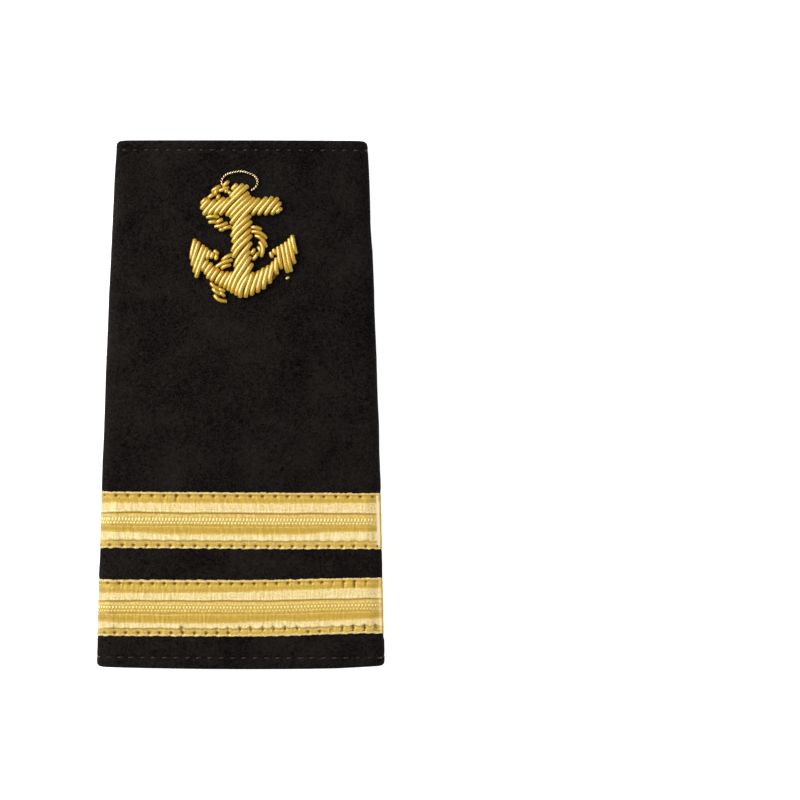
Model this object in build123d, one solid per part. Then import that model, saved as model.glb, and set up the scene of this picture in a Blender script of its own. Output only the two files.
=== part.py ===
from build123d import *
import math
import os

# A slip-on epaulette: a flat cloth sleeve for a shoulder strap, with two gold
# laces round it and an anchor in raised gold wire embroidery. Sizes are in
# millimetres. It lies on its back on the plane z = 0. +Y points to the narrow
# collar end, +Z is the outward normal of the face, and the origin is the
# centre of the back.

# Sleeve
slide_length = 110.0    # from the collar end to the shoulder end
narrow_width = 52.0     # over the side folds at the collar end
wide_width = 60.0       # over the side folds at the shoulder end
side_bow = 0.35         # swell of each long side past a straight line
face_wall = 1.6         # face cloth with the stiffening that it is turned round
fold_height = 5.4       # outer height of the rounded side folds
face_crown = 1.3        # rise of the face between its folds and its middle
turn_in = 9.0           # face cloth turned under along each long side
end_roll = 0.7          # rounding of the turned cloth at both open ends

# Back panel, sewn over the turned-in edges and the ends of the laces
panel_wall = 1.2
panel_inset = 4.0       # from the side fold to the panel's edge
panel_end_gap = 1.0     # the panel stops this far short of both ends
panel_corner = 1.0

# Laces
lace_width = 12.0
lace_thickness = 1.0        # at the top of its two ribs
lace_gap = 6.3              # cloth that shows between the two laces
lace_from_wide_end = 6.6    # cloth that shows below the lower lace

# Clearances
seat_gap = 0.05         # between pieces that lie on one another
side_gap = 0.15         # between pieces that lie beside one another

# Anchor
stock_from_narrow_end = 13.7    # to the centre line of the stock
stock_length = 17.1
stock_width = 3.8
shank_width = 4.2
cap_width = 3.6
cap_rise = 4.6          # from the stock's centre line to the shank's top
crown_drop = 19.2       # from the stock's centre line to the lowest point
shank_stop = 1.9        # the shank ends this far above the lowest point
half_span = 11.1        # from the shank's axis to the tip of a fluke
relief_height = 1.7     # of the padded wire above the cloth
relief_bevel = 0.4      # slope of its edges

# Ring and rope on the anchor
ring_cord = 0.52        # diameter of the twisted cord
ring_width = 7.3        # between the cord's centre lines
ring_height = 4.7
ring_offset = -0.45     # centre of the ring, from the shank's axis
ring_above_stock = 4.9  # centre of the ring, from the stock's centre line
rope_width = 1.8
rope_sink = 0.6         # how far the round rope is sunk below its full depth

# Thickness across a lace: station is the share of its width from the edge
# nearer the collar, height the share of its full thickness.
lace_profile = [
    {"station": 0.000, "height": 0.40},
    {"station": 0.025, "height": 0.58},
    {"station": 0.075, "height": 0.50},
    {"station": 0.160, "height": 0.80},
    {"station": 0.250, "height": 1.00},
    {"station": 0.335, "height": 0.84},
    {"station": 0.370, "height": 0.62},
    {"station": 0.410, "height": 0.78},
    {"station": 0.590, "height": 0.78},
    {"station": 0.630, "height": 0.62},
    {"station": 0.665, "height": 0.84},
    {"station": 0.750, "height": 1.00},
    {"station": 0.840, "height": 0.80},
    {"station": 0.925, "height": 0.50},
    {"station": 0.975, "height": 0.58},
    {"station": 1.000, "height": 0.40},
]

# Outline points of the anchor: across is a share of half_span to the right of
# the shank's axis, down a share of crown_drop below the stock's centre line.
arm_outline = [
    {"point": "left end, low", "across": -0.790, "down": 0.672},
    {"point": "left belly", "across": -0.468, "down": 0.844},
    {"point": "crown", "across": -0.027, "down": 1.000},
    {"point": "right belly", "across": 0.414, "down": 0.901},
    {"point": "right end, low", "across": 0.806, "down": 0.643},
    {"point": "right end, high", "across": 0.658, "down": 0.552},
    {"point": "right throat", "across": 0.441, "down": 0.661},
    {"point": "shank, right", "across": 0.170, "down": 0.722},
    {"point": "shank, left", "across": -0.153, "down": 0.722},
    {"point": "left throat", "across": -0.432, "down": 0.672},
    {"point": "left end, high", "across": -0.630, "down": 0.568},
]
left_fluke_outline = [
    {"point": "tip", "across": -0.905, "down": 0.349},
    {"point": "outer edge", "across": -0.973, "down": 0.526},
    {"point": "outer barb", "across": -0.920, "down": 0.776},
    {"point": "barb, inside", "across": -0.810, "down": 0.776},
    {"point": "root", "across": -0.721, "down": 0.625},
    {"point": "inner barb, low", "across": -0.470, "down": 0.583},
    {"point": "inner barb, high", "across": -0.436, "down": 0.526},
    {"point": "tip, inside", "across": -0.790, "down": 0.349},
]
right_fluke_outline = [
    {"point": "tip", "across": 0.955, "down": 0.307},
    {"point": "outer edge", "across": 1.000, "down": 0.495},
    {"point": "outer barb", "across": 0.925, "down": 0.745},
    {"point": "barb, inside", "across": 0.816, "down": 0.738},
    {"point": "root", "across": 0.766, "down": 0.620},
    {"point": "inner barb, low", "across": 0.541, "down": 0.560},
    {"point": "inner barb, high", "across": 0.510, "down": 0.487},
    {"point": "tip, inside", "across": 0.850, "down": 0.307},
]

# Stretches of rope that show: three points each, as shares in the same way.
rope_stretches = {
    "rope_ring_to_stock": [(-0.320, -0.235), (-0.440, -0.175), (-0.600, -0.125)],
    "rope_under_stock": [(-0.560, 0.130), (-0.430, 0.175), (-0.285, 0.215)],
    "rope_right_loop": [(0.265, 0.250), (0.445, 0.385), (0.265, 0.530)],
    "rope_left_turn": [(-0.240, 0.545), (-0.300, 0.590), (-0.390, 0.628)],
    "rope_tail": [(-0.470, 0.905), (-0.440, 0.955), (-0.385, 1.000)],
}

# Worked-out places
fold_radius = fold_height / 2
turned_face = panel_wall + seat_gap     # height of the turned-in cloth's underside
fold_axis = turned_face + fold_radius
face_top = turned_face + fold_height + face_crown
stock_y = slide_length / 2 - stock_from_narrow_end
lower_lace_y = -slide_length / 2 + lace_from_wide_end + lace_width
upper_lace_y = lower_lace_y + lace_gap + lace_width


def half_width(y):
    """Half the sleeve's width over its folds, at a place along its length."""
    share = 0.5 - y / slide_length
    taper = (wide_width - narrow_width) / 2
    return narrow_width / 2 + taper * share + 4 * side_bow * share * (1 - share)


def skin(y, out):
    """Points on the right half of a skin that lies out beyond the face cloth."""
    fold_x = half_width(y) - fold_radius
    rise = (fold_x**2 + face_crown**2) / (2 * face_crown)
    start = math.atan2(rise - face_crown, fold_x)
    middle = (start - math.pi / 2) / 2
    radius = fold_radius + out
    return {
        "top": (0, y, face_top + out),
        "shoulder": (fold_x + radius * math.cos(start), y, fold_axis + radius * math.sin(start)),
        "side": (fold_x + radius * math.cos(middle), y, fold_axis + radius * math.sin(middle)),
        "under": (fold_x, y, fold_axis - radius),
    }


def mirrored(point):
    return (-point[0], point[1], point[2])


def half_round(points):
    """The left fold, the face and the right fold of one skin, as three arcs."""
    left = {name: mirrored(point) for name, point in points.items()}
    return [
        ThreePointArc(left["under"], left["side"], left["shoulder"]),
        ThreePointArc(left["shoulder"], points["top"], points["shoulder"]),
        ThreePointArc(points["shoulder"], points["side"], points["under"]),
    ]


def band_section(y, low, high, end_x):
    """A closed section of cloth or lace that runs round the sleeve and under both folds."""
    inner, outer = skin(y, low), skin(y, high)
    inner_end = (end_x, y, inner["under"][2])
    outer_end = (end_x, y, outer["under"][2])
    edges = half_round(inner) + half_round(outer)
    for side in (lambda point: point, mirrored):
        edges.append(Line(side(inner["under"]), side(inner_end)))
        edges.append(Line(side(inner_end), side(outer_end)))
        edges.append(Line(side(outer_end), side(outer["under"])))
    return Wire(edges)


def sleeve_stations():
    """Places along the sleeve, each with how far the cloth's roll thins it there."""
    eased = end_roll * (1 - math.sqrt(0.5))
    half = slide_length / 2
    wide = [(-half, end_roll), (-half + eased, eased), (-half + end_roll, 0)]
    narrow = [(half - end_roll, 0), (half - eased, eased), (half, end_roll)]
    middle = [(share * slide_length, 0) for share in (-0.25, 0, 0.25)]
    return wide + middle + narrow


def face_cloth():
    sections = [
        band_section(y, thin - face_wall, -thin, half_width(y) - turn_in)
        for y, thin in sleeve_stations()
    ]
    return Solid.make_loft(sections, ruled=True)


def sleeve_envelope(out):
    """The sleeve filled in, grown by out: what lies on the face is cut to it."""
    sections = []
    for share in (-0.5, -0.25, 0, 0.25, 0.5):
        points = skin(share * slide_length, out)
        base = Line(mirrored(points["under"]), points["under"])
        sections.append(Wire(half_round(points) + [base]))
    return Solid.make_loft(sections, ruled=True)


def back_panel():
    half = slide_length / 2 - panel_end_gap
    corner = {y: half_width(y) - panel_inset for y in (-half, 0, half)}
    outline = [
        Line((-corner[half], half), (corner[half], half)),
        ThreePointArc((corner[half], half), (corner[0], 0), (corner[-half], -half)),
        Line((corner[-half], -half), (-corner[-half], -half)),
        ThreePointArc((-corner[-half], -half), (-corner[0], 0), (-corner[half], half)),
    ]
    plate = extrude(make_face(outline), amount=panel_wall)
    return fillet(plate.edges().filter_by(Axis.Z), panel_corner)


def lace(first_edge_y):
    sections = []
    for row in lace_profile:
        y = first_edge_y - row["station"] * lace_width
        outside = seat_gap + row["height"] * lace_thickness
        end_x = half_width(y) - panel_inset + side_gap
        sections.append(band_section(y, seat_gap, outside, end_x))
    return Solid.make_loft(sections, ruled=True)


def on_anchor(across, down):
    return (across * half_span, stock_y - down * crown_drop)


def outline_points(rows):
    return [on_anchor(row["across"], row["down"]) for row in rows]


def arms_face():
    p = outline_points(arm_outline)
    return make_face([
        ThreePointArc(p[0], p[1], p[2]),
        ThreePointArc(p[2], p[3], p[4]),
        Line(p[4], p[5]),
        ThreePointArc(p[5], p[6], p[7]),
        Line(p[7], p[8]),
        ThreePointArc(p[8], p[9], p[10]),
        Line(p[10], p[0]),
    ])


def fluke_face(rows):
    p = outline_points(rows)
    return make_face([ThreePointArc(p[0], p[1], p[2]), Polyline(p[2:] + p[:1])])


def anchor_fields():
    """The fields of wire that make up the anchor, each with its share of the full height."""
    foot = crown_drop - shank_stop
    stock = Pos(0, stock_y) * Rectangle(stock_length, stock_width)
    shank = Pos(0, stock_y - foot / 2) * Rectangle(shank_width, foot)
    cap = Pos(0, stock_y + cap_rise / 2) * Rectangle(cap_width, cap_rise)
    return [
        {"outline": stock, "height": 0.96},
        {"outline": shank, "height": 1.00},
        {"outline": cap, "height": 0.90},
        {"outline": arms_face(), "height": 0.92},
        {"outline": fluke_face(left_fluke_outline), "height": 0.82},
        {"outline": fluke_face(right_fluke_outline), "height": 0.82},
    ]


def raised(outline, height):
    """A padded field of wire with sloped edges, standing deep in the face cloth's space."""
    depth = fold_height / 2
    block = Pos(0, 0, face_top - depth) * extrude(outline, amount=depth + height)
    return chamfer(block.faces().sort_by(Axis.Z)[-1].edges(), relief_bevel)


def anchor():
    solid = None
    for row in anchor_fields():
        field = raised(row["outline"], row["height"] * relief_height)
        solid = field if solid is None else solid + field
    return solid


def anchor_clearance():
    """The space that the anchor takes up, with a side gap all round."""
    outline = None
    for row in anchor_fields():
        outline = row["outline"] if outline is None else outline + row["outline"]
    reach = 3 * relief_height
    grown = offset(outline, side_gap, kind=Kind.ARC)
    return Pos(0, 0, face_top - reach / 2) * extrude(grown, amount=reach)


def rope(points, grow):
    """One stretch of rope, round and half sunk, with rounded ends."""
    start, middle, end = (on_anchor(*point) for point in points)
    radius = rope_width / 2 + grow
    path = Pos(0, 0, face_top + rope_width / 2 - rope_sink) * ThreePointArc(start, middle, end)
    strand = sweep(Plane(origin=path @ 0, z_dir=path % 0) * Circle(radius), path)
    for place in (path @ 0, path @ 1):
        strand += Pos(*place) * Sphere(radius)
    return strand


def ring():
    """The anchor's ring, an oval of cord that is sewn flat on the cloth."""
    height = face_top + seat_gap + ring_cord / 2
    oval = Ellipse(ring_width / 2, ring_height / 2).edges()[0]
    path = Pos(ring_offset, stock_y + ring_above_stock, height) * oval
    return sweep(Plane(origin=path @ 0, z_dir=path % 0) * Circle(ring_cord / 2), path)


def write(name, shape):
    export_step(shape, f"parts/{name}.step")


def main():
    os.makedirs("parts", exist_ok=True)
    write("face_cloth", face_cloth())
    write("back_panel", back_panel())
    write("lace_upper", lace(upper_lace_y))
    write("lace_lower", lace(lower_lace_y))
    sleeve_room = sleeve_envelope(seat_gap)
    anchor_room = anchor_clearance()
    write("anchor", anchor() - sleeve_room)
    cord = ring() - anchor_room
    for name, points in rope_stretches.items():
        write(name, rope(points, 0) - anchor_room - sleeve_room)
        cord -= rope(points, side_gap)
    # The short end between the rope and the cap is left out.
    write("anchor_ring", max(cord.solids(), key=lambda solid: solid.volume))


main()
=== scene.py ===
import math

import bmesh
import bpy
import numpy as np
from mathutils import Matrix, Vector


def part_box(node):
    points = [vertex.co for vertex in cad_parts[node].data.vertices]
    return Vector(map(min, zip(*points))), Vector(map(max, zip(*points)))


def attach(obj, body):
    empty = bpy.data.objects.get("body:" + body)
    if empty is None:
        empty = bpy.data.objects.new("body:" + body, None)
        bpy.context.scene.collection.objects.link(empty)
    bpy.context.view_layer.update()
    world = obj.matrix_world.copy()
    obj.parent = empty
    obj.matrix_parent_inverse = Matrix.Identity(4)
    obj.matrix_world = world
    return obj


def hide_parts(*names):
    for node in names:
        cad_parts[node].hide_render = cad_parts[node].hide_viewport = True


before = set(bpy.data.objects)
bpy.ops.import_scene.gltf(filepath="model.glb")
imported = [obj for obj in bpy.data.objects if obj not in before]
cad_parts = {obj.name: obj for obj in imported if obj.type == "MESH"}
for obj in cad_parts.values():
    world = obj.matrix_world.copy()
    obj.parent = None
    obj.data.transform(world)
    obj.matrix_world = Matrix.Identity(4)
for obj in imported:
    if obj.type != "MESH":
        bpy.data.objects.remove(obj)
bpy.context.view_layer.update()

mm = 0.001          # sizes below are in millimetres, the scene is in metres


def boxOf(node):
    return [[value / mm for value in corner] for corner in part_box(node)]


# Sleeve: the skin that everything is laid on

clothLow, clothHigh = boxOf("face_cloth")

sleeve = {
    "length": clothHigh[1] - clothLow[1],
    "wideWidth": clothHigh[0] - clothLow[0],    # over the folds at the shoulder end
    "narrowWidth": 52.0,                        # over the folds at the collar end
    "sideBow": 0.35,
    "underside": clothLow[2],                   # of the turned-in cloth
    "foldHeight": 5.4,
    "top": clothHigh[2],
    "wall": 1.6,
    "turnIn": 9.0,                              # cloth turned under along each long side
    "lastStitch": 3.0,                          # rows of stitches end this far in, underneath
}


def halfWidth(y):
    share = 0.5 - y / sleeve["length"]
    taper = (sleeve["wideWidth"] - sleeve["narrowWidth"]) / 2
    return sleeve["narrowWidth"] / 2 + taper * share + 4 * sleeve["sideBow"] * share * (1 - share)


def skinArcs(y):
    # the section's two arcs: the shallow one of the face and the small one of the fold
    fold = sleeve["foldHeight"] / 2
    foldX = halfWidth(y) - fold
    crown = sleeve["top"] - sleeve["underside"] - sleeve["foldHeight"]
    drop = (foldX**2 - crown**2) / (2 * crown)
    slope = np.arctan2(foldX, drop)             # of the face where it meets the fold
    return fold, foldX, slope, drop + crown + fold


def faceRun(y):
    _, _, slope, faceRadius = skinArcs(y)
    return faceRadius * slope                   # from the middle of the face to its fold


def skinRun(y, inset):
    # from the middle of the face round the fold, and under it to inset from the side
    fold, _, slope, faceRadius = skinArcs(y)
    return faceRadius * slope + fold * (math.pi - slope) + inset - fold


def skinAt(u, y, out):
    # u runs across from the middle of the face, out is the height over the cloth
    u, y, out = np.broadcast_arrays(*(np.asarray(a, float) for a in (u, y, out)))
    fold, foldX, slope, faceRadius = skinArcs(y)
    run = np.abs(u)
    onFace = faceRadius * slope
    past = np.clip((run - onFace) / fold, 0, math.pi - slope)
    angle = np.where(run < onFace, run / faceRadius, slope + past)
    radius = np.where(run < onFace, faceRadius, fold) + out
    centreX = np.where(run < onFace, 0, foldX)
    centreZ = np.where(run < onFace, sleeve["top"] - faceRadius, sleeve["underside"] + fold)
    under = np.maximum(run - onFace - fold * (math.pi - slope), 0)
    x = centreX + radius * np.sin(angle) - under
    return np.stack([x * np.where(u < 0, -1, 1), y, centreZ + radius * np.cos(angle)], -1)


def faceHeight(x, y):
    faceRadius = skinArcs(np.asarray(y, float))[-1]
    return sleeve["top"] - faceRadius + np.sqrt(faceRadius**2 - np.asarray(x, float)**2)


def ease(value, low, high):
    share = np.clip((value - low) / (high - low), 0, 1)
    return share * share * (3 - 2 * share)


def softNoise(a, b, size, seed):
    # smooth unevenness from a few crossing waves, about -1 to 1
    waves = np.random.default_rng(seed)
    count = 14
    total = 0 * a + 0 * b
    for _ in range(count):
        angle, phase = waves.uniform(0, 2 * math.pi, 2)
        reach = 2 * math.pi / (size * waves.uniform(0.6, 1.8))
        total = total + np.sin(reach * (a * math.cos(angle) + b * math.sin(angle)) + phase)
    return total / count**0.5


# Mesh helpers

def addPiece(name, mesh):
    piece = bpy.data.objects.new(name, mesh)
    bpy.context.scene.collection.objects.link(piece)
    return piece


def addMesh(name, points, faces, uv=None, marks=None):
    mesh = bpy.data.meshes.new(name)
    places = (np.asarray(points).reshape(-1, 3) * mm).tolist()
    mesh.from_pydata(places, [], [list(map(int, face)) for face in faces])
    if uv is not None:
        corners = np.empty(len(mesh.loops), np.int32)
        mesh.loops.foreach_get("vertex_index", corners)
        layer = mesh.uv_layers.new(name="clothUV")
        layer.data.foreach_set("uv", np.asarray(uv).reshape(-1, 2)[corners].astype(np.float32).ravel())
    for mark, values in (marks or {}).items():
        made = mesh.attributes.new(mark, "FLOAT", "POINT")
        made.data.foreach_set("value", np.asarray(values).astype(np.float32).ravel())
    mesh.polygons.foreach_set("use_smooth", [True] * len(mesh.polygons))
    return addPiece(name, mesh)


def gridFaces(rows, cols, first=0):
    a = np.arange(rows - 1)[:, None] * cols + np.arange(cols - 1)[None, :] + first
    return np.stack([a, a + 1, a + cols + 1, a + cols], -1).reshape(-1, 4)


def slabFaces(rows, cols):
    # two grids of points, upper then lower, closed all round
    ring = np.concatenate([
        np.arange(cols),
        np.arange(1, rows) * cols + cols - 1,
        (rows - 1) * cols + np.arange(cols - 2, -1, -1),
        np.arange(rows - 2, 0, -1) * cols,
    ])
    after = np.roll(ring, -1)
    rim = np.stack([ring + rows * cols, after + rows * cols, after, ring], -1)
    return np.concatenate([gridFaces(rows, cols), gridFaces(rows, cols, rows * cols)[:, ::-1], rim])


def facedOut(piece):
    mesh = bmesh.new()
    mesh.from_mesh(piece.data)
    bmesh.ops.recalc_face_normals(mesh, faces=mesh.faces)
    mesh.to_mesh(piece.data)
    mesh.free()
    return piece


def addSlab(name, upper, lower, uv=None, marks=None):
    # a closed piece between two grids of places
    points = np.concatenate([upper.reshape(-1, 3), lower.reshape(-1, 3)])
    return facedOut(addMesh(name, points, slabFaces(*upper.shape[:2]), uv, marks))


def finished(piece, slot, *nodes, material=None):
    if material:
        piece.data.materials.append(material)
    if nodes:
        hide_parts(*nodes)
    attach(piece, "root")
    print(piece.name, len(piece.data.polygons), "faces")
    return piece


# Node helpers

def addNode(tree, kind, inputs=None, **settings):
    made = tree.nodes.new(kind)
    for key, value in settings.items():
        setattr(made, key, value)
    for key, value in (inputs or {}).items():
        if isinstance(value, bpy.types.NodeSocket):
            tree.links.new(value, made.inputs[key])
        else:
            made.inputs[key].default_value = value
    return made


def work(tree, operation, *values):
    # one step of arithmetic
    return addNode(tree, "ShaderNodeMath", dict(enumerate(values)), operation=operation).outputs[0]


def vectorWork(tree, operation, *values):
    # a scale has its factor in the fourth socket
    places = (0, 3) if operation == "SCALE" else range(len(values))
    made = addNode(tree, "ShaderNodeVectorMath", dict(zip(places, values)), operation=operation)
    return made.outputs[0]


def blend(tree, share, low, high):
    # from low to high as the share grows
    return addNode(tree, "ShaderNodeMix", {0: share, 2: low, 3: high}).outputs[0]


def rescale(tree, value, low, high, toLow=0.0, toHigh=1.0):
    made = addNode(tree, "ShaderNodeMapRange", {"Value": value})
    for label, number in (("From Min", low), ("From Max", high), ("To Min", toLow), ("To Max", toHigh)):
        made.inputs[label].default_value = number
    return made.outputs[0]


def addGroup(name, kind, inputs, outputs):
    tree = bpy.data.node_groups.new(name, kind)
    for direction, rows in (("INPUT", inputs), ("OUTPUT", outputs)):
        for label, socket, *value in rows:
            made = tree.interface.new_socket(label, in_out=direction, socket_type="NodeSocket" + socket)
            if value:
                made.default_value = value[0]
    return tree, tree.nodes.new("NodeGroupInput").outputs, tree.nodes.new("NodeGroupOutput").inputs


def grow(name, source, tree, values):
    # runs a geometry tree on a source object and keeps the result as a plain mesh
    modifier = source.modifiers.new("grow", "NODES")
    modifier.node_group = tree
    for item in tree.interface.items_tree:
        if item.in_out == "INPUT" and item.name in values:
            modifier[item.identifier] = values[item.name]
    bpy.context.view_layer.update()
    made = bpy.data.meshes.new_from_object(source.evaluated_get(bpy.context.evaluated_depsgraph_get()))
    made.name = name
    bpy.data.objects.remove(source)
    return addPiece(name, made)


def storeValue(tree, geometry, name, value):
    return addNode(tree, "GeometryNodeStoreNamedAttribute", {
        "Geometry": geometry, "Name": name, "Value": value,
    }, data_type="FLOAT", domain="POINT").outputs[0]


def storedValue(tree, name):
    return addNode(tree, "GeometryNodeInputNamedAttribute", {"Name": name}, data_type="FLOAT").outputs[0]


def randomValue(tree, kind, low, high, seed):
    # vectors come first among the node's sockets, then numbers
    n = 0 if kind == "FLOAT_VECTOR" else 1
    made = addNode(tree, "FunctionNodeRandomValue", {
        2 * n: low, 2 * n + 1: high, "Seed": seed,
    }, data_type=kind)
    return made.outputs[n]


def turnedBy(tree, rotation, angles):
    spin = addNode(tree, "FunctionNodeEulerToRotation", {0: angles}).outputs[0]
    return addNode(tree, "FunctionNodeRotateRotation", {
        "Rotation": rotation, "Rotate By": spin,
    }, rotation_space="LOCAL").outputs[0]


def placeCopies(tree, points, helper, rotation, *sides):
    # copies of a helper object, each side of them scaled by itself
    shape = addNode(tree, "GeometryNodeObjectInfo", {"Object": helper}).outputs["Geometry"]
    size = addNode(tree, "ShaderNodeCombineXYZ", dict(enumerate(sides))).outputs[0]
    return addNode(tree, "GeometryNodeInstanceOnPoints", {
        "Points": points, "Instance": shape, "Rotation": rotation, "Scale": size,
    }).outputs[0]


def finishTree(tree, geometry, start, end):
    plain = addNode(tree, "GeometryNodeRealizeInstances", {0: geometry}).outputs[0]
    coated = addNode(tree, "GeometryNodeSetMaterial", {"Geometry": plain, "Material": start["Material"]})
    tree.links.new(coated.outputs[0], end["Geometry"])
    return tree


# Shader groups that several finishes share

fibreNoises = [
    {"name": "tufts", "scale": 1500, "detail": 1, "distortion": 1.5},
    {"name": "hairs", "scale": 3300, "detail": 1, "distortion": 3.0},
    {"name": "clouds", "scale": 110, "detail": 3, "distortion": 0.5},
]


def makeFibreGroup():
    # short matted fibres: a height for bump and a mask for colour
    tree, start, end = addGroup(
        "mattedFibres", "ShaderNodeTree",
        [("Vector", "Vector"), ("Scale", "Float", 1.0)],
        [("Height", "Float"), ("Mask", "Float")],
    )
    noises = {}
    for row in fibreNoises:
        noises[row["name"]] = addNode(tree, "ShaderNodeTexNoise", {
            "Vector": start["Vector"], "Scale": work(tree, "MULTIPLY", start["Scale"], row["scale"]),
            "Detail": row["detail"], "Distortion": row["distortion"],
        }).outputs[0]
    fine = blend(tree, 0.6, noises["tufts"], noises["hairs"])
    tree.links.new(fine, end["Height"])
    tree.links.new(blend(tree, 0.2, fine, noises["clouds"]), end["Mask"])
    return tree


def makeWindingGroup():
    # fine wire wound round a core: a mask of the grooves between turns, for painted shade there, and a slow
    # change of tone
    tree, start, end = addGroup(
        "woundWire", "ShaderNodeTree",
        [("Vector", "Vector"), ("Along", "Float"), ("Turn", "Float"), ("Pitch", "Float", 0.17)],
        [("Groove", "Float"), ("Tone", "Float")],
    )
    turns = work(tree, "ADD", work(tree, "DIVIDE", start["Along"], start["Pitch"]), start["Turn"])
    wave = work(tree, "COSINE", work(tree, "MULTIPLY", turns, 2 * math.pi))
    tree.links.new(rescale(tree, wave, 0.2, -1.0), end["Groove"])
    tone = addNode(tree, "ShaderNodeTexNoise", {"Vector": start["Vector"], "Scale": 420.0, "Detail": 2.0})
    tree.links.new(rescale(tree, tone.outputs[0], 0.35, 0.65), end["Tone"])
    return tree


def makeThreadGroup():
    # flat metal threads side by side, the way they run chosen by a mask
    tree, start, end = addGroup(
        "threadLines", "ShaderNodeTree",
        [("Vector", "Vector"), ("Crosswise", "Float"), ("Pitch", "Float", 0.19)],
        [("Height", "Float")],
    )
    split = addNode(tree, "ShaderNodeSeparateXYZ", {0: start["Vector"]})
    waves, streaks = [], []
    for axis, stretch in ((1, (0.30, 5.0, 1.0)), (0, (3.2, 0.16, 1.0))):
        turns = work(tree, "DIVIDE", split.outputs[axis], start["Pitch"])
        waves.append(work(tree, "SINE", work(tree, "MULTIPLY", turns, 2 * math.pi)))
        drawn = addNode(tree, "ShaderNodeMapping", {"Vector": start["Vector"], "Scale": stretch})
        noise = addNode(tree, "ShaderNodeTexNoise", {
            "Vector": drawn.outputs[0], "Scale": 1.0, "Detail": 3.0, "Roughness": 0.7,
        })
        streaks.append(rescale(tree, noise.outputs[0], 0.3, 0.7, -1.0, 1.0))
    wave = blend(tree, start["Crosswise"], *waves)
    streak = blend(tree, start["Crosswise"], *streaks)
    tree.links.new(work(tree, "ADD", work(tree, "MULTIPLY", wave, 0.5), streak), end["Height"])
    return tree


fibreGroup = makeFibreGroup()
windingGroup = makeWindingGroup()
threadGroup = makeThreadGroup()


# Finishes

def newMaterial(name):
    material = bpy.data.materials.new(name)
    material.use_nodes = True
    tree = material.node_tree
    tree.nodes.clear()
    out = tree.nodes.new("ShaderNodeOutputMaterial")
    shader = tree.nodes.new("ShaderNodeBsdfPrincipled")
    tree.links.new(shader.outputs[0], out.inputs[0])
    return material, tree, shader.inputs


def placeShared(tree, group, inputs):
    return addNode(tree, "ShaderNodeGroup", inputs, node_tree=group).outputs


def objectPlace(tree):
    return addNode(tree, "ShaderNodeTexCoord").outputs["Object"]


def meshValue(tree, name):
    # a value that the mesh carries at each of its points
    return addNode(tree, "ShaderNodeAttribute", attribute_name=name).outputs["Fac"]


def mixColours(tree, factor, *ends):
    low, high = (end if isinstance(end, bpy.types.NodeSocket) else (*end, 1) for end in ends)
    made = addNode(tree, "ShaderNodeMix", {0: factor, 6: low, 7: high}, data_type="RGBA")
    return made.outputs[2]


def addBump(tree, shader, height, strength, depth):
    bump = addNode(tree, "ShaderNodeBump", {"Height": height, "Strength": strength, "Distance": depth * mm})
    tree.links.new(bump.outputs[0], shader["Normal"])


def setSurface(shader, look):
    for label, value in look["surface"].items():
        shader[label].default_value = value


feltLook = {
    "dark": (0.0008, 0.0006, 0.0005),
    "light": (0.0180, 0.0145, 0.0130),
    "scale": 1.0,
    "mask": (0.41, 0.59),           # where dark fibres end and light ones begin
    "bump": (0.8, 0.2),             # strength and depth
    "surface": {"Roughness": 1.0, "Specular IOR Level": 0.05},
}

napLook = {
    "dark": (0.004, 0.0034, 0.0032),
    "light": (0.034, 0.029, 0.0275),
    "scale": 0.6,
    "mask": (0.40, 0.62),
    "bump": None,
    "surface": {"Roughness": 0.9, "Specular IOR Level": 0.05},
}

# Yellow felt under the wires, painted dark brown so that the gaps between the wires show painted shade
paddingLook = {
    "dark": (0.16, 0.080, 0.003),
    "light": (0.32, 0.18, 0.010),
    "scale": 1.2,
    "mask": (0.36, 0.66),
    "bump": (0.5, 0.1),
    "surface": {"Roughness": 0.9},
}


def makeFibreFinish(name, look, brightness=1.0, scale=1.0):
    material, tree, shader = newMaterial(name)
    fibres = placeShared(tree, fibreGroup, {"Vector": objectPlace(tree), "Scale": look["scale"] * scale})
    mask = rescale(tree, fibres["Mask"], *look["mask"])
    low, high = ([brightness * channel for channel in look[end]] for end in ("dark", "light"))
    tree.links.new(mixColours(tree, mask, low, high), shader["Base Color"])
    if look["bump"]:
        addBump(tree, shader, fibres["Height"], *look["bump"])
    setSurface(shader, look)
    return material


def windingOf(tree, pitch):
    return placeShared(tree, windingGroup, {
        "Vector": objectPlace(tree), "Pitch": pitch,
        "Along": meshValue(tree, "along"), "Turn": meshValue(tree, "turn"),
    })


# Twisted sewing threads, painted darker in the grooves between their plies as painted shade
hemThreadLook = {
    "low": (0.009, 0.008, 0.008),
    "high": (0.022, 0.0195, 0.0175),
    "plyPitch": 0.42,
    "surface": {"Metallic": 0.0, "Roughness": 0.5},
}

laceThreadLook = {
    "low": (0.50, 0.32, 0.05),
    "high": (0.86, 0.66, 0.24),
    "plyPitch": 0.42,
    "surface": {"Metallic": 0.3, "Roughness": 0.6},
}


def makeThreadFinish(name, look):
    material, tree, shader = newMaterial(name)
    groove = windingOf(tree, look["plyPitch"])["Groove"]
    # painted shade in the grooves between plies
    tree.links.new(mixColours(tree, groove, look["high"], look["low"]), shader["Base Color"])
    setSurface(shader, look)
    return material


# Gilt wire, lacquered, painted darker in the grooves between coil turns as painted shade
wireLook = {
    "warm": (0.72, 0.44, 0.012),
    "green": (0.69, 0.50, 0.021),
    "groove": (0.38, 0.18, 0.002),
    "grooveShadeShare": 0.4,
    "coilPitch": 0.17,
    "surface": {
        "Metallic": 1.0, "Roughness": 0.64,
        "Coat Weight": 1.0, "Coat IOR": 1.93, "Coat Roughness": 0.22,
    },
}


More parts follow.
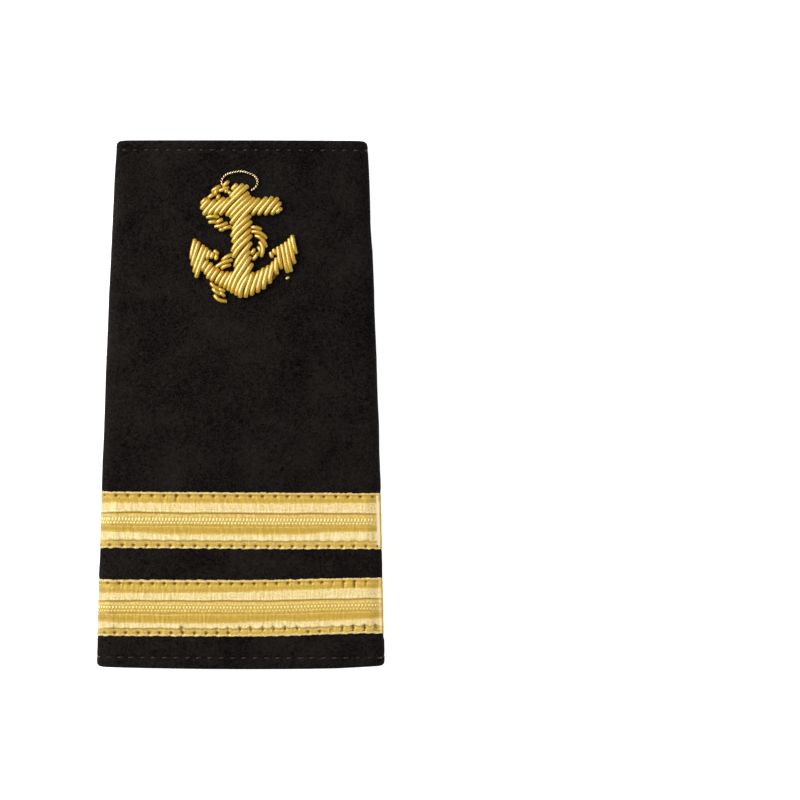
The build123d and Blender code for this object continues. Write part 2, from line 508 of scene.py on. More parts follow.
def makeWireFinish(name):
    material, tree, shader = newMaterial(name)
    wound = windingOf(tree, wireLook["coilPitch"])
    tones = mixColours(tree, wound["Tone"], wireLook["warm"], wireLook["green"])
    # painted shade in the grooves between coil turns
    depth = work(tree, "MULTIPLY", wound["Groove"], wireLook["grooveShadeShare"])
    tree.links.new(mixColours(tree, depth, tones, wireLook["groove"]), shader["Base Color"])
    setSurface(shader, wireLook)
    return material


cordLook = {
    "upper": (1.0, 0.77, 0.40),
    # painted shade on a strand where it dips under the other
    "under": (0.07, 0.020, 0.002),
    "scale": 1.4,
    "unevenness": 0.3,
    "shade": (0.14, 0.32),          # where the painted shade on a strand that dips begins and ends
    "surface": {"Metallic": 0.9, "Roughness": 0.35, "Coat Weight": 0.5, "Coat Roughness": 0.25},
}


def makeCordFinish(name):
    # painted shade: a strand is painted darker where it dips under the other
    material, tree, shader = newMaterial(name)
    fibres = placeShared(tree, fibreGroup, {"Vector": objectPlace(tree), "Scale": cordLook["scale"]})
    uneven = cordLook["unevenness"]
    under = work(tree, "ADD", meshValue(tree, "under"), -uneven / 2)
    shade = work(tree, "MULTIPLY_ADD", fibres["Mask"], uneven, under)
    shade = rescale(tree, shade, *cordLook["shade"])
    tree.links.new(mixColours(tree, shade, cordLook["upper"], cordLook["under"]), shader["Base Color"])
    setSurface(shader, cordLook)
    return material


# gold for each tone of the lace; the deep end also carries painted shade and the bright end painted highlight
laceGolds = [
    {"tone": 0.0, "colour": (0.35, 0.185, 0.014)},
    {"tone": 0.5, "colour": (0.525, 0.340, 0.055)},
    {"tone": 0.66, "colour": (0.65, 0.44, 0.088)},
    {"tone": 0.80, "colour": (0.80, 0.635, 0.31)},
    {"tone": 1.0, "colour": (0.95, 0.80, 0.455)},
]

laceLook = {
    # painted shade in the needle holes and the slits
    "hole": (0.16, 0.072, 0.0),
    "palest": (0.98, 0.84, 0.52),
    "middle": 1.03,             # painted brightness half-way across
    "paintedLightSlope": 0.0048,            # painted lighter by this share on each millimetre towards the right
    "paintedFoldShade": 0.18,             # painted darker by this share round the left fold, which faces the lamp
    "leftFold": (-27.2, -26.2),
    "bandTones": (0.72, 0.86),  # the threads turn crosswise between these tones
    "ribPitch": 0.19,
    "ribTones": (0.05, 0.18),   # how plainly the threads show, along the lace and across it
    # how plainly the threads show in the painted reflection strip, and how dark the painted shade round the
    # side is
    "sheenStripRibs": 0.12,
    "shadedTone": -0.6,
    "mottle": 0.09,
    "creasePitch": 1.4,
    "creaseWidth": 0.055,
    "creased": (0.45, 0.60),    # creases show where a slow noise passes these values
    "creaseTone": -0.22,
    "creaseDepth": -1.5,
    "bump": (0.5, 0.03),
    "surface": {"Metallic": 0.30, "Roughness": 0.48, "Specular IOR Level": 0.2},
}

# Tone across the lace, from its edge nearer the collar: 0 deepest, 2 brightest. It is partly the weave's own
# stripes and partly painted light: painted highlight along the bright bands and edges, and painted shade in
# the grooves beside them
laceTones = [
    {"at": 0.30, "tone": 1.5},
    {"at": 0.50, "tone": 0.9},
    {"at": 1.10, "tone": 1.2},
    {"at": 1.85, "tone": 0.9},
    {"at": 2.18, "tone": 1.15},
    {"at": 2.50, "tone": 1.58},
    {"at": 3.40, "tone": 1.60},
    {"at": 3.70, "tone": 1.54},
    {"at": 3.95, "tone": 1.74},
    {"at": 4.22, "tone": 1.74},
    {"at": 4.34, "tone": 0.62},
    {"at": 4.50, "tone": 0.9},
    {"at": 4.72, "tone": 1.4},
    {"at": 5.05, "tone": 1.4},
    {"at": 5.30, "tone": 1.22},
    {"at": 6.64, "tone": 1.22},
    {"at": 6.78, "tone": 1.5},
    {"at": 6.92, "tone": 0.9},
    {"at": 7.04, "tone": 0.95},
    {"at": 7.20, "tone": 1.4},
    {"at": 7.38, "tone": 0.95},
    {"at": 8.10, "tone": 0.9},
    {"at": 8.50, "tone": 1.15},
    {"at": 8.85, "tone": 1.55},
    {"at": 9.75, "tone": 1.72},
    {"at": 10.04, "tone": 1.74},
    {"at": 10.18, "tone": 1.15},
    {"at": 10.34, "tone": 1.2},
    {"at": 10.60, "tone": 1.35},
    {"at": 10.95, "tone": 1.25},
    {"at": 11.15, "tone": 0.95},
    {"at": 11.50, "tone": 1.6},
]


def addRamp(tree, value, stops):
    made = addNode(tree, "ShaderNodeValToRGB", {0: value})
    elements = made.color_ramp.elements
    elements.remove(elements[-1])
    for n, (place, colour) in enumerate(stops):
        stop = elements[0] if n == 0 else elements.new(place)
        stop.position = place
        stop.color = (*colour, 1)
    return made.outputs[0]


def makeLaceFinish(name):
    material, tree, shader = newMaterial(name)
    uv = addNode(tree, "ShaderNodeUVMap", uv_map="clothUV").outputs[0]
    u, v, _ = addNode(tree, "ShaderNodeSeparateXYZ", {0: uv}).outputs
    tones = [(row["at"] / laceWidth, (row["tone"] / 2,) * 3) for row in laceTones]
    base = addRamp(tree, work(tree, "DIVIDE", v, laceWidth), tones)
    band = rescale(tree, base, *laceLook["bandTones"])
    threads = placeShared(tree, threadGroup, {
        "Vector": uv, "Crosswise": band, "Pitch": laceLook["ribPitch"],
    })["Height"]
    # creases across the bright bands, in some places only, painted darker as painted shade and bumped
    cells = addNode(tree, "ShaderNodeTexVoronoi", {
        "W": u, "Scale": 1 / laceLook["creasePitch"],
    }, voronoi_dimensions="1D", feature="DISTANCE_TO_EDGE").outputs["Distance"]
    patches = addNode(tree, "ShaderNodeTexNoise", {"Vector": uv, "Scale": 0.55, "Detail": 1.0}).outputs[0]
    crease = rescale(tree, cells, laceLook["creaseWidth"], 0.0)
    crease = work(tree, "MULTIPLY", crease, rescale(tree, patches, *laceLook["creased"]))
    crease = work(tree, "MULTIPLY", crease, band)
    mottle = addNode(tree, "ShaderNodeTexNoise", {"Vector": uv, "Scale": 2.6, "Detail": 2.0}).outputs[0]
    mottle = rescale(tree, mottle, 0.3, 0.7, -laceLook["mottle"], laceLook["mottle"])
    ribs = work(tree, "MULTIPLY", threads, rescale(tree, band, 0.0, 1.0, *laceLook["ribTones"]))
    tone = work(tree, "ADD", work(tree, "ADD", base, ribs), mottle)
    tone = work(tree, "MULTIPLY_ADD", crease, laceLook["creaseTone"], tone)
    # the turned end at the right fold: a painted reflection, a pale strip along the fold, then painted shade,
    # a dark line round the side
    strip = work(tree, "MULTIPLY_ADD", threads, laceLook["sheenStripRibs"], 1.0)
    tone = blend(tree, meshValue(tree, "turned"), tone, strip)
    tone = work(tree, "MULTIPLY_ADD", meshValue(tree, "shaded"), laceLook["shadedTone"], tone)
    gold = addRamp(tree, tone, [(row["tone"], row["colour"]) for row in laceGolds])
    # painted light and shade: the lace is painted a little lighter towards its right end, which the lamp
    # lights less, and painted darker round its left fold, which faces the lamp
    paintedLightSlope = work(tree, "MULTIPLY_ADD", u, laceLook["paintedLightSlope"], laceLook["middle"])
    paintedLightSlope = work(tree, "ADD", paintedLightSlope, rescale(tree, u, *laceLook["leftFold"], -laceLook["paintedFoldShade"], 0.0))
    gold = vectorWork(tree, "MINIMUM", vectorWork(tree, "SCALE", gold, paintedLightSlope), laceLook["palest"])
    # painted shade in the needle holes and the slits
    colour = mixColours(tree, meshValue(tree, "hole"), gold, laceLook["hole"])
    tree.links.new(colour, shader["Base Color"])
    height = work(tree, "MULTIPLY_ADD", crease, laceLook["creaseDepth"], threads)
    addBump(tree, shader, height, *laceLook["bump"])
    setSurface(shader, laceLook)
    return material


# Hem stitches on the face cloth

hems = [
    {"y": 52.95, "start": -24.97, "pitch": 2.302, "length": 0.95, "seed": 41},      # collar end
    {"y": -52.60, "start": -28.14, "pitch": 2.363, "length": 1.15, "seed": 42},     # shoulder end
]

hemThread = {
    "diameter": 0.26,
    "height": 0.13,
    "sink": 0.3,
    "hidden": 0.21,         # some lie this much deeper than others
    "stray": 0.08,          # unevenness of their ends, along the hem
    "slant": 0.09,          # how far off the hem's line they begin and end
    "arch": (-1.0, 0.1, 0.75, 1.0, 0.75, 0.1, -1.0),
    "groove": 0.16,         # how far the line of stitches is pulled in
    "grooveWidth": 0.32,
    "pit": 0.14,            # and its needle holes beyond that
    "pitWidth": 0.28,
    "coilPitch": hemThreadLook["plyPitch"],
    "endRound": 0.1,
    "coilDepth": 0.05,
    "step": 0.11,
    "sides": 8,
}


def hemPlaces(hem, reach):
    # needle places each way from the start until the cloth ends
    first = hem["start"] - hem["pitch"] * math.floor((reach + hem["start"]) / hem["pitch"])
    return np.arange(first, reach - hem["length"], hem["pitch"])


# Face cloth

faceCloth = {
    "cellAcross": 0.62,
    "cellAlong": 0.70,
    "fineAlong": 0.16,      # beside the hems
    "endRoll": 0.7,
    "cornerReach": 1.5,     # the folds narrow this close to both ends
    "cornerPinch": 0.55,
    "dent": 0.10,           # uneven lie of the cloth
    "highest": 0.06,        # of the bumps between the dents
    "sideEase": 0.20,       # it stands off this much at the folds
    "rightTuck": 0.16,      # but is drawn in this much beside the laces' right ends
    "laceBite": 0.14,       # how far the laces press it in
    "endBow": 0.35,         # the wide end is this much shorter at its corners
    "cornerLift": 0.3,      # and this much more at its right corner
}


def nearFold(u, y, before, after):
    # 0 on the face, 1 round the fold
    return ease(np.abs(u), faceRun(y) - before, faceRun(y) + after)


def sideLie(u, y):
    # how far the cloth stands off the even skin at the folds
    tuck = faceCloth["rightTuck"] * (u > 0) * ease(-y, 16, 40)
    return nearFold(u, y, 3, 3) * (faceCloth["sideEase"] - tuck)


def laceSeat(u, y):
    return sideLie(u, y) - faceCloth["laceBite"]


def clothOut(u, y):
    # height of the real, uneven cloth over the even skin
    dents = faceCloth["dent"] * (softNoise(u, y, 17.0, 5) + 0.35 * softNoise(u, y, 5.0, 6)) - 0.03
    flatter = 1 - 0.5 * nearFold(u, y, 3, 3)
    out = np.minimum(dents, faceCloth["highest"]) * flatter + sideLie(u, y)
    for row in laces:
        inside = ease(y, row["collarEdge"] - laceWidth - 0.5, row["collarEdge"] - laceWidth)
        inside = inside * ease(-y, -row["collarEdge"] - 0.5, -row["collarEdge"])
        out = out * (1 - inside) + laceSeat(u, y) * inside
    # the seam's groove fades where it turns round a fold
    fades = 1 - 0.7 * nearFold(u, y, 1, 2)
    for hem in hems:
        line = np.exp(-((y - hem["y"]) / hemThread["grooveWidth"]) ** 2) * fades
        near = np.zeros_like(out)
        for place in hemPlaces(hem, skinRun(hem["y"], sleeve["lastStitch"])):
            for end in (place, place + hem["length"]):
                near = np.maximum(near, np.exp(-((u - end) / hemThread["pitWidth"]) ** 2))
        out = out - line * (hemThread["groove"] + hemThread["pit"] * near)
    return out


def clothRows():
    half = sleeve["length"] / 2
    roll = faceCloth["endRoll"]
    ends = roll * np.array([0.0, 0.05, 0.15, 0.3, 0.5, 0.75, 1.0])
    rows = [half - ends, ends - half]
    rows.append(np.arange(-half + roll + 0.4, half - roll - 0.2, faceCloth["cellAlong"]))
    for hem in hems:
        rows.append(np.arange(hem["y"] - 0.8, hem["y"] + 0.81, faceCloth["fineAlong"]))
    rows = np.unique(np.round(np.concatenate(rows), 3))
    return rows[np.concatenate([[True], np.diff(rows) > 0.03])]


def clothGrid(rows, cols):
    # places on the cloth, and how much its rolled edges thin it there
    half = sleeve["length"] / 2
    roll = faceCloth["endRoll"]
    share = np.linspace(-1, 1, cols)[None, :]
    y = np.repeat(rows[:, None], cols, 1)
    u = share * skinRun(y, sleeve["turnIn"])
    toEnd = np.clip(1 - (half - np.abs(y)) / roll, 0, 1)
    toEdge = np.clip(1 - (1 - np.abs(share)) * skinRun(y, sleeve["turnIn"]) / roll, 0, 1)
    thin = roll * (1 - np.sqrt(1 - np.maximum(toEnd, toEdge) ** 2))
    corner = np.clip(1 - (half - np.abs(y)) / faceCloth["cornerReach"], 0, 1)
    pinch = faceCloth["cornerPinch"] * (1 - np.sqrt(1 - corner**2)) * nearFold(u, y, 2, 3)
    return u, y, thin, pinch


def laidCloth(u, y, out):
    # the wide end isn't cut quite straight
    points = skinAt(u, y, out)
    toWide = np.clip((-y - sleeve["length"] / 2 + 7) / 7, 0, 1)
    shares = points[..., 0] / halfWidth(y)
    atRight = faceCloth["cornerLift"] * ease(shares, 0.6, 1.0)
    points[..., 1] += toWide * (faceCloth["endBow"] * shares**2 + atRight)
    return points


def makeFaceCloth():
    cols = int(2 * skinRun(0, sleeve["turnIn"]) / faceCloth["cellAcross"])
    u, y, thin, pinch = clothGrid(clothRows(), cols)
    uneven = clothOut(u, y) - pinch
    upper = laidCloth(u, y, uneven - thin)
    lower = laidCloth(u, y, uneven + thin - sleeve["wall"])
    return addSlab("faceCloth", upper, lower)


def makeNapGround():
    # the cloth's outer side alone, marked where nap shows
    cols = int(2 * skinRun(0, sleeve["turnIn"]))
    rows = np.linspace(-0.5, 0.5, 120) * (sleeve["length"] - 0.5)
    u, y, thin, pinch = clothGrid(rows, cols)
    bare = np.zeros_like(u)
    for row in laces:
        middle = row["collarEdge"] - laceWidth / 2
        bare = np.maximum(bare, np.abs(y - middle) < laceWidth / 2 + 0.1)
    bare = np.maximum(bare, np.abs(u) > skinRun(y, 3.6))
    points = laidCloth(u, y, clothOut(u, y) - pinch - thin)
    return addMesh("napGround", points, gridFaces(*u.shape)[:, ::-1], marks={"nap": 1 - bare})


nap = {
    "density": 3.2,         # hairs on a square millimetre
    "length": 0.9,
    "thickness": 0.04,
    "seed": 4,
}

lint = {
    "density": 0.012,
    "length": 0.7,
    "thickness": 0.05,
    "seed": 9,
}

# Least and most, from hair to hair
hairSpread = {
    "turn": ((-0.1, -0.5, 0.0), (0.1, 0.05, 2 * math.pi)),
    "stretch": (0.5, 1.4),
}


def makeHair():
    # one bent hair, a metre long and a metre thick, scaled where it is used
    points = [(0, 0, 0), (0.4, 0.55, 0.2), (0.4, -0.35, 0.7), (0.4, -0.35, -0.1), (1, 0, 0.1)]
    faces = [(0, 2, 1), (0, 3, 2), (0, 1, 3), (4, 1, 2), (4, 2, 3), (4, 3, 1)]
    mesh = bpy.data.meshes.new("hair")
    mesh.from_pydata(points, [], faces)
    return addPiece("hair", mesh)


def makeNapTree():
    tree, start, end = addGroup(
        "scatterNap", "GeometryNodeTree",
        [
            ("Geometry", "Geometry"), ("Hair", "Object"),
            ("Density", "Float", 1e6), ("Length", "Float", 0.001), ("Thickness", "Float", 0.00003),
            ("Seed", "Int", 1), ("Material", "Material"),
        ],
        [("Geometry", "Geometry")],
    )
    density = work(tree, "MULTIPLY", start["Density"], storedValue(tree, "nap"))
    spots = addNode(tree, "GeometryNodeDistributePointsOnFaces", {
        "Mesh": start["Geometry"], "Density": density, "Seed": start["Seed"],
    }, distribute_method="RANDOM").outputs
    spin = randomValue(tree, "FLOAT_VECTOR", *hairSpread["turn"], start["Seed"])
    turned = turnedBy(tree, spots["Rotation"], spin)
    stretch = randomValue(tree, "FLOAT", *hairSpread["stretch"], start["Seed"])
    length = work(tree, "MULTIPLY", start["Length"], stretch)
    thickness = start["Thickness"]
    hairs = placeCopies(tree, spots["Points"], start["Hair"], turned, length, thickness, thickness)
    return finishTree(tree, hairs, start, end)


# Back panel

panelLow, panelHigh = boxOf("back_panel")

backPanel = {
    "inset": 4.0,           # from the side fold to the panel's edge
    "cellAlong": 0.6,
    "corner": 1.0,
    "edge": 0.45,           # rounding of its edges
    "rest": 0.10,           # its underside, over what it lies on
    "stitchInset": 2.2,
    "stitchPitch": 2.6,
    "stitchLength": 2.0,
    "groove": 0.22,         # of the seam, near both long sides
    "grooveWidth": 0.35,
    "dent": 0.05,
}


def makeBackPanel():
    half = (panelHigh[1] - panelLow[1]) / 2
    edge = backPanel["edge"]
    ends = edge * np.array([0.0, 0.06, 0.2, 0.45, 0.75, 1.0])
    between = np.arange(-half + 0.8, half - 0.7, backPanel["cellAlong"])
    rows = np.unique(np.round(np.concatenate([ends - half, between, half - ends]), 3))
    fine = 0.99 + 0.01 * np.linspace(-1, 1, 9)      # closer together at the edges
    shares = np.unique(np.round(np.concatenate([np.linspace(-1, 1, 85), fine]), 4))
    shares = np.unique(np.concatenate([shares, -shares]))
    y = np.repeat(rows[:, None], len(shares), 1)
    side = halfWidth(y) - backPanel["inset"]
    toEnd = np.clip(1 - (half - np.abs(y)) / backPanel["corner"], 0, 1)
    x = shares[None, :] * (side - backPanel["corner"] * (1 - np.sqrt(1 - toEnd**2)))
    near = np.maximum(
        np.clip(1 - (half - np.abs(y)) / edge, 0, 1),
        np.clip(1 - (1 - np.abs(shares[None, :])) * side / edge, 0, 1),
    )
    thin = edge * (1 - np.sqrt(1 - near**2))
    seam = np.exp(-((np.abs(x) - side + backPanel["stitchInset"]) / backPanel["grooveWidth"]) ** 2)
    lie = backPanel["dent"] * softNoise(x, y, 14.0, 15)
    low = panelLow[2] + backPanel["rest"] + thin + backPanel["groove"] * seam + np.clip(lie, 0, 1)
    high = panelHigh[2] - 0.8 * thin - 0.5 * backPanel["groove"] * seam + np.clip(lie, -1, 0)
    return addSlab("backPanel", np.stack([x, y, high], -1), np.stack([x, y, low], -1))


# Laces

upperLow, upperHigh = boxOf("lace_upper")
_, lowerHigh = boxOf("lace_lower")
laceWidth = upperHigh[1] - upperLow[1]

laces = [
    {
        "name": "laceUpper",
        "node": "lace_upper",
        "collarEdge": upperHigh[1],
        "drop": 0.25,           # its right end lies this much lower
        "lift": 0.0,            # and its right half rises this much
        "narrowing": 0.12,      # its far edge rises this much more
        "turned": 1.0,          # how strongly its painted reflection strip shows along the right fold
        "seed": 21,
        "stitchRows": [
            {
                "across": [(0, 0.80)], "size": [(0, 1)],
                "start": -26.0, "pitch": 2.545, "tail": (0.62, 0.50),
            },
            {
                "across": [(0, 11.16)], "size": [(0, 1)],
                "start": -27.25, "pitch": 2.541, "tail": (-0.60, 0.45),
            },
        ],
        "lastEdge": -0.04,      # its second band's lower edge runs this much lower
        # where the bright bands' upper edges run
        "firstBand": [(-30, 2.25), (10, 2.15), (30, 1.95)],
        "secondBand": [
            (-30, 8.05), (-23, 8.2), (-19, 8.4), (-15, 8.65), (0, 8.6), (13, 8.5),
            (16, 8.3), (17.5, 7.9), (22, 7.75), (30, 7.6),
        ],
        "slits": [
            {"u": -13.4, "from": 0.5, "to": 1.9, "width": 0.18, "depth": 0.16},
            {"u": 29.0, "from": 0.6, "to": 1.7, "width": 0.18, "depth": 0.12},
        ],
        "floats": [
            # a row of long ones, then one of dots below it
            {"at": 5.70, "shift": 0.0, "lean": -0.16, "wide": 0.52, "long": 1.04, "high": 0.18},
            {"at": 6.42, "shift": 0.35, "lean": -0.3, "wide": 0.50, "long": 0.60, "high": 0.15},
        ],
    },
    {
        "name": "laceLower",
        "node": "lace_lower",
        "collarEdge": lowerHigh[1],
        "drop": 0.05,
        "lift": 0.48,
        "narrowing": 0.2,
        "turned": 0.3,
        "seed": 31,
        "stitchRows": [
            {
                "across": [(0, 0.80)], "size": [(17, 1), (19, 0.5)],
                "start": -27.65, "pitch": 2.347, "tail": (0.62, 0.50),
            },
            {
                "across": [(-2.0, 11.05), (-0.6, 10.35), (11.8, 10.3), (13.6, 11.0), (17, 11.0), (20, 10.5)],
                "size": [(-2, 1), (-0.6, 0.68), (11.8, 0.68), (13.6, 1), (17, 1), (19, 0.5)],
                "start": -26.1, "pitch": 2.366, "tail": (-0.60, 0.45),
            },
        ],
        "lastEdge": 0.0,
        "firstBand": [(-30, 2.75), (-18, 2.85), (0, 2.5), (3, 2.3), (10, 2.15), (20, 2.1), (30, 2.1)],
        "secondBand": [
            (-30, 8.6), (-22, 8.95), (-2, 9.0), (2, 8.65), (9, 8.45), (12, 8.75), (22, 8.7), (28, 8.45),
        ],
        "slits": [
            {"u": -19.0, "from": 2.3, "to": 3.7, "width": 0.30, "depth": 0.04},
            {"u": -12.2, "from": 9.6, "to": 10.8, "width": 0.30, "depth": 0.16, "notch": 0.6},
            {"u": -4.9, "from": 10.1, "to": 10.9, "width": 0.30, "depth": 0.10, "notch": 0.2},
            {"u": -2.6, "from": 10.0, "to": 10.9, "width": 0.24, "depth": 0.10, "notch": 0.5},
            {"u": -0.1, "from": 9.6, "to": 10.3, "width": 0.16, "depth": 0.10, "notch": 0.6},
            {"u": 2.1, "from": 9.6, "to": 10.3, "width": 0.16, "depth": 0.10, "notch": 0.6},
            {"u": 4.6, "from": 9.6, "to": 10.3, "width": 0.16, "depth": 0.10, "notch": 0.5},
            {"u": 6.8, "from": 9.6, "to": 10.3, "width": 0.16, "depth": 0.08, "notch": 0.5},
            {"u": 9.3, "from": 9.6, "to": 10.3, "width": 0.20, "depth": 0.12, "notch": 0.6},
            {"u": 11.7, "from": 9.7, "to": 10.3, "width": 0.16, "depth": 0.10, "notch": 0.4},
            {"u": 19.3, "from": 10.2, "to": 11.2, "width": 0.20, "depth": 0.10, "notch": 0.3},
            {"u": 21.2, "from": 10.1, "to": 11.2, "width": 0.24, "depth": 0.16, "notch": 0.3},
            {"u": 23.4, "from": 10.0, "to": 11.2, "width": 0.26, "depth": 0.26, "notch": 0.5},
            {"u": 25.8, "from": 10.0, "to": 11.2, "width": 0.26, "depth": 0.26, "notch": 0.6},
            {"u": 28.0, "from": 9.9, "to": 11.1, "width": 0.24, "depth": 0.24, "notch": 0.7},
            {"u": 19.0, "from": 0.9, "to": 1.8, "width": 0.24, "depth": 0.10},
            {"u": 21.4, "from": 0.6, "to": 1.9, "width": 0.22, "depth": 0.22},
            {"u": 23.7, "from": 0.5, "to": 1.9, "width": 0.26, "depth": 0.28},
            {"u": 26.0, "from": 0.6, "to": 1.7, "width": 0.24, "depth": 0.12},
        ],
        "floats": [
            # a row of long ones between two of dots
            {"at": 5.12, "shift": 0.35, "lean": 0.0, "wide": 0.36, "long": 0.26, "high": 0.12},
            {"at": 5.75, "shift": 0.0, "lean": -0.08, "wide": 0.46, "long": 0.68, "high": 0.18},
            {"at": 6.46, "shift": 0.35, "lean": -0.2, "wide": 0.42, "long": 0.36, "high": 0.14},
        ],
    },
]

laceShape = {
    "width": 11.76,             # a little drawn in by its stitches
    "cellAcross": 0.17,
    "cellAlong": 0.2,
    "endInset": 3.9,            # the ends stop this far in from the sides, underneath
    "sideHeight": 0.09,         # where the lace is pulled tight round a fold
    "paintedStripInset": 0.95,          # from the side to the painted reflection strip along the right fold
    "paintedStripRun": 0.95,          # the painted strip's width, round the fold
    "holeWidth": 0.55,
    "holeLength": 1.3,          # along the lace, as a share of its width
    "holeEdge": 1.4,            # its sides rise as far out as this
    "holeDepth": 0.26,
    "holeStray": 0.07,          # along its row
    "pull": 0.05,               # dimple round each hole
    "pullReach": 0.6,
    "scallop": 0.07,            # wave of the bright bands' edges, from stitch to stitch
    "edgeScallop": 0.05,        # and of the lace's own edges
    "feather": 0.05,            # unevenness of the bright bands' upper edges
    "selvedge": 0.05,           # and of the lace's edges
    "wander": 0.05,             # and of the second band's lower edge
    "slitShade": 3.5,
    "notchReach": 0.35,
    "grain": 0.016,
    "thinnest": 0.06,
    "sunk": 0.02,               # its underside, in the cloth
}

# Height across the lace, from its edge nearer the collar
laceHeights = [
    {"at": 0.00, "height": 0.16},
    {"at": 0.10, "height": 0.42},
    {"at": 0.40, "height": 0.48},
    {"at": 0.75, "height": 0.38},
    {"at": 1.15, "height": 0.44},
    {"at": 1.70, "height": 0.60},
    {"at": 2.20, "height": 0.68},
    {"at": 2.80, "height": 0.72},
    {"at": 3.60, "height": 0.74},
    {"at": 4.10, "height": 0.76},
    {"at": 4.24, "height": 0.68},
    {"at": 4.36, "height": 0.38},
    {"at": 4.56, "height": 0.46},
    {"at": 5.10, "height": 0.50},
    {"at": 6.70, "height": 0.50},
    {"at": 6.92, "height": 0.36},
    {"at": 7.15, "height": 0.52},
    {"at": 7.70, "height": 0.62},
    {"at": 8.40, "height": 0.70},
    {"at": 9.00, "height": 0.74},
    {"at": 9.92, "height": 0.75},
    {"at": 10.04, "height": 0.69},
    {"at": 10.28, "height": 0.44},
    {"at": 10.50, "height": 0.47},
    {"at": 11.10, "height": 0.40},
    {"at": 11.38, "height": 0.46},
    {"at": 11.66, "height": 0.42},
    {"at": laceShape["width"], "height": 0.16},
]


def rowPlaces(row, reach, seed):
    first = row["start"] - row["pitch"] * math.floor((reach + row["start"]) / row["pitch"])
    places = np.arange(first, reach, row["pitch"])
    return places + np.random.default_rng(seed).normal(0, laceShape["holeStray"], len(places))


def alongLine(places, u):
    return np.interp(u, [place[0] for place in places], [place[1] for place in places])


def laceBands(row, u, v):
    # where the weave's own bands run, which wander a little, scallop between stitches
    # and are drawn up at the notches
    first, last = row["stitchRows"]
    seed = row["seed"]
    scallops = [np.cos(2 * math.pi * (u - line["start"]) / line["pitch"]) for line in (first, last)]
    starts = [
        alongLine(row[band], u) + laceShape["feather"] * softNoise(u, 0, size, seed + n)
        for n, (band, size) in enumerate((("firstBand", 0.9), ("secondBand", 0.8)))
    ]
    notches = 0 * u
    for slit in row["slits"]:
        near = np.exp(-np.abs(u - slit["u"]) / laceShape["notchReach"])
        notches = np.maximum(notches, slit.get("notch", 0) * near)
    wander = laceShape["wander"] * softNoise(u, 0, 6.0, seed + 5)
    # each of these lines across the lace is shifted by so much
    shifts = [
        (0.0, 0 * u),
        (2.3, starts[0] - 2.3 - 0.5 * laceShape["scallop"] * scallops[0]),
        (4.36, 0.05 * softNoise(u, 0, 9.0, seed + 2)),
        (6.92, 0.04 * softNoise(u, 0, 12.0, seed + 3)),
        (8.6, starts[1] - 8.6),
        (10.12, row["lastEdge"] - laceShape["scallop"] * scallops[1] + wander - notches),
        (laceShape["width"] + 0.01, 0 * u),
    ]
    total = 0 * u
    for (low, lowShift), (high, highShift) in zip(shifts, shifts[1:]):
        share = (v - low) / (high - low)
        inside = (share >= 0) & (share < 1)
        total = total + inside * (lowShift * (1 - share) + highShift * share)
    return v - total


def laceY(row, u, v):
    wide = laceShape["width"]
    y = row["collarEdge"] - v * (1 - row["narrowing"] / wide * ease(u, 6, 30)) + row["lift"] * ease(u, 0, 27)
    first, last = row["stitchRows"]
    edges = (
        (first, ease(-v, -0.5, 0), 0.5, 0.7, 8),
        (last, ease(v, wide - 0.6, wide), -1, 0.8, 9),
    )
    for line, near, way, size, seed in edges:
        wave = np.cos(2 * math.pi * (u - line["start"] - 0.3) / line["pitch"])
        loose = laceShape["selvedge"] * softNoise(u, 0, size, row["seed"] + seed)
        y = y + near * (loose + way * laceShape["edgeScallop"] * wave)
    return y - row["drop"] * (u / 60 + 0.5)


def pastFold(u, y):
    # how far a place lies beyond the line where the painted reflection strip on the lace's turned end begins,
    # on the right
    fold, _, slope, _ = skinArcs(y)
    return u - faceRun(y) - fold * (math.asin(1 - laceShape["paintedStripInset"] / fold) - slope)


def laceOut(row, u, v, y):
    bands = laceBands(row, u, v)
    at = [line["at"] for line in laceHeights]
    height = [line["height"] for line in laceHeights]
    ribbed = np.interp(bands, at, height)
    aside = nearFold(u, y, 1.0, 2.2)
    out = ribbed * (1 - aside) + np.minimum(ribbed, laceShape["sideHeight"]) * aside
    hole = 0 * u
    reach = skinRun(row["collarEdge"], sleeve["lastStitch"])
    for n, line in enumerate(row["stitchRows"]):
        for place in rowPlaces(line, reach, row["seed"] + n):
            across = v - alongLine(line["across"], place)
            radius = alongLine(line["size"], place) * laceShape["holeWidth"] / 2
            far = np.hypot((u - place) / laceShape["holeLength"], across) / radius
            hole = np.maximum(hole, np.clip(laceShape["holeEdge"] - far, 0, 1))
            pull = np.exp(-((u - place) / laceShape["pullReach"]) ** 2) * np.exp(-across**2)
            out = out - laceShape["pull"] * pull
    # the slits are also painted dark, as painted shade
    dark = 0 * u
    for slit in row["slits"]:
        inside = ease(v, slit["from"] - 0.25, slit["from"] + 0.1)
        inside = inside * ease(-v, -slit["to"] - 0.25, -slit["to"] + 0.1)
        cut = np.exp(-(((u - slit["u"]) / slit["width"]) ** 2)) * inside
        out = out - slit["depth"] * cut
        dark = np.maximum(dark, laceShape["slitShade"] * slit["depth"] * cut)
    out = out - laceShape["holeDepth"] * hole
    out = out + laceShape["grain"] * softNoise(2.2 * u, 0.5 * v, 1.6, row["seed"] + 7)
    return np.maximum(out, laceShape["thinnest"]), np.clip(hole + dark, 0, 1), bands


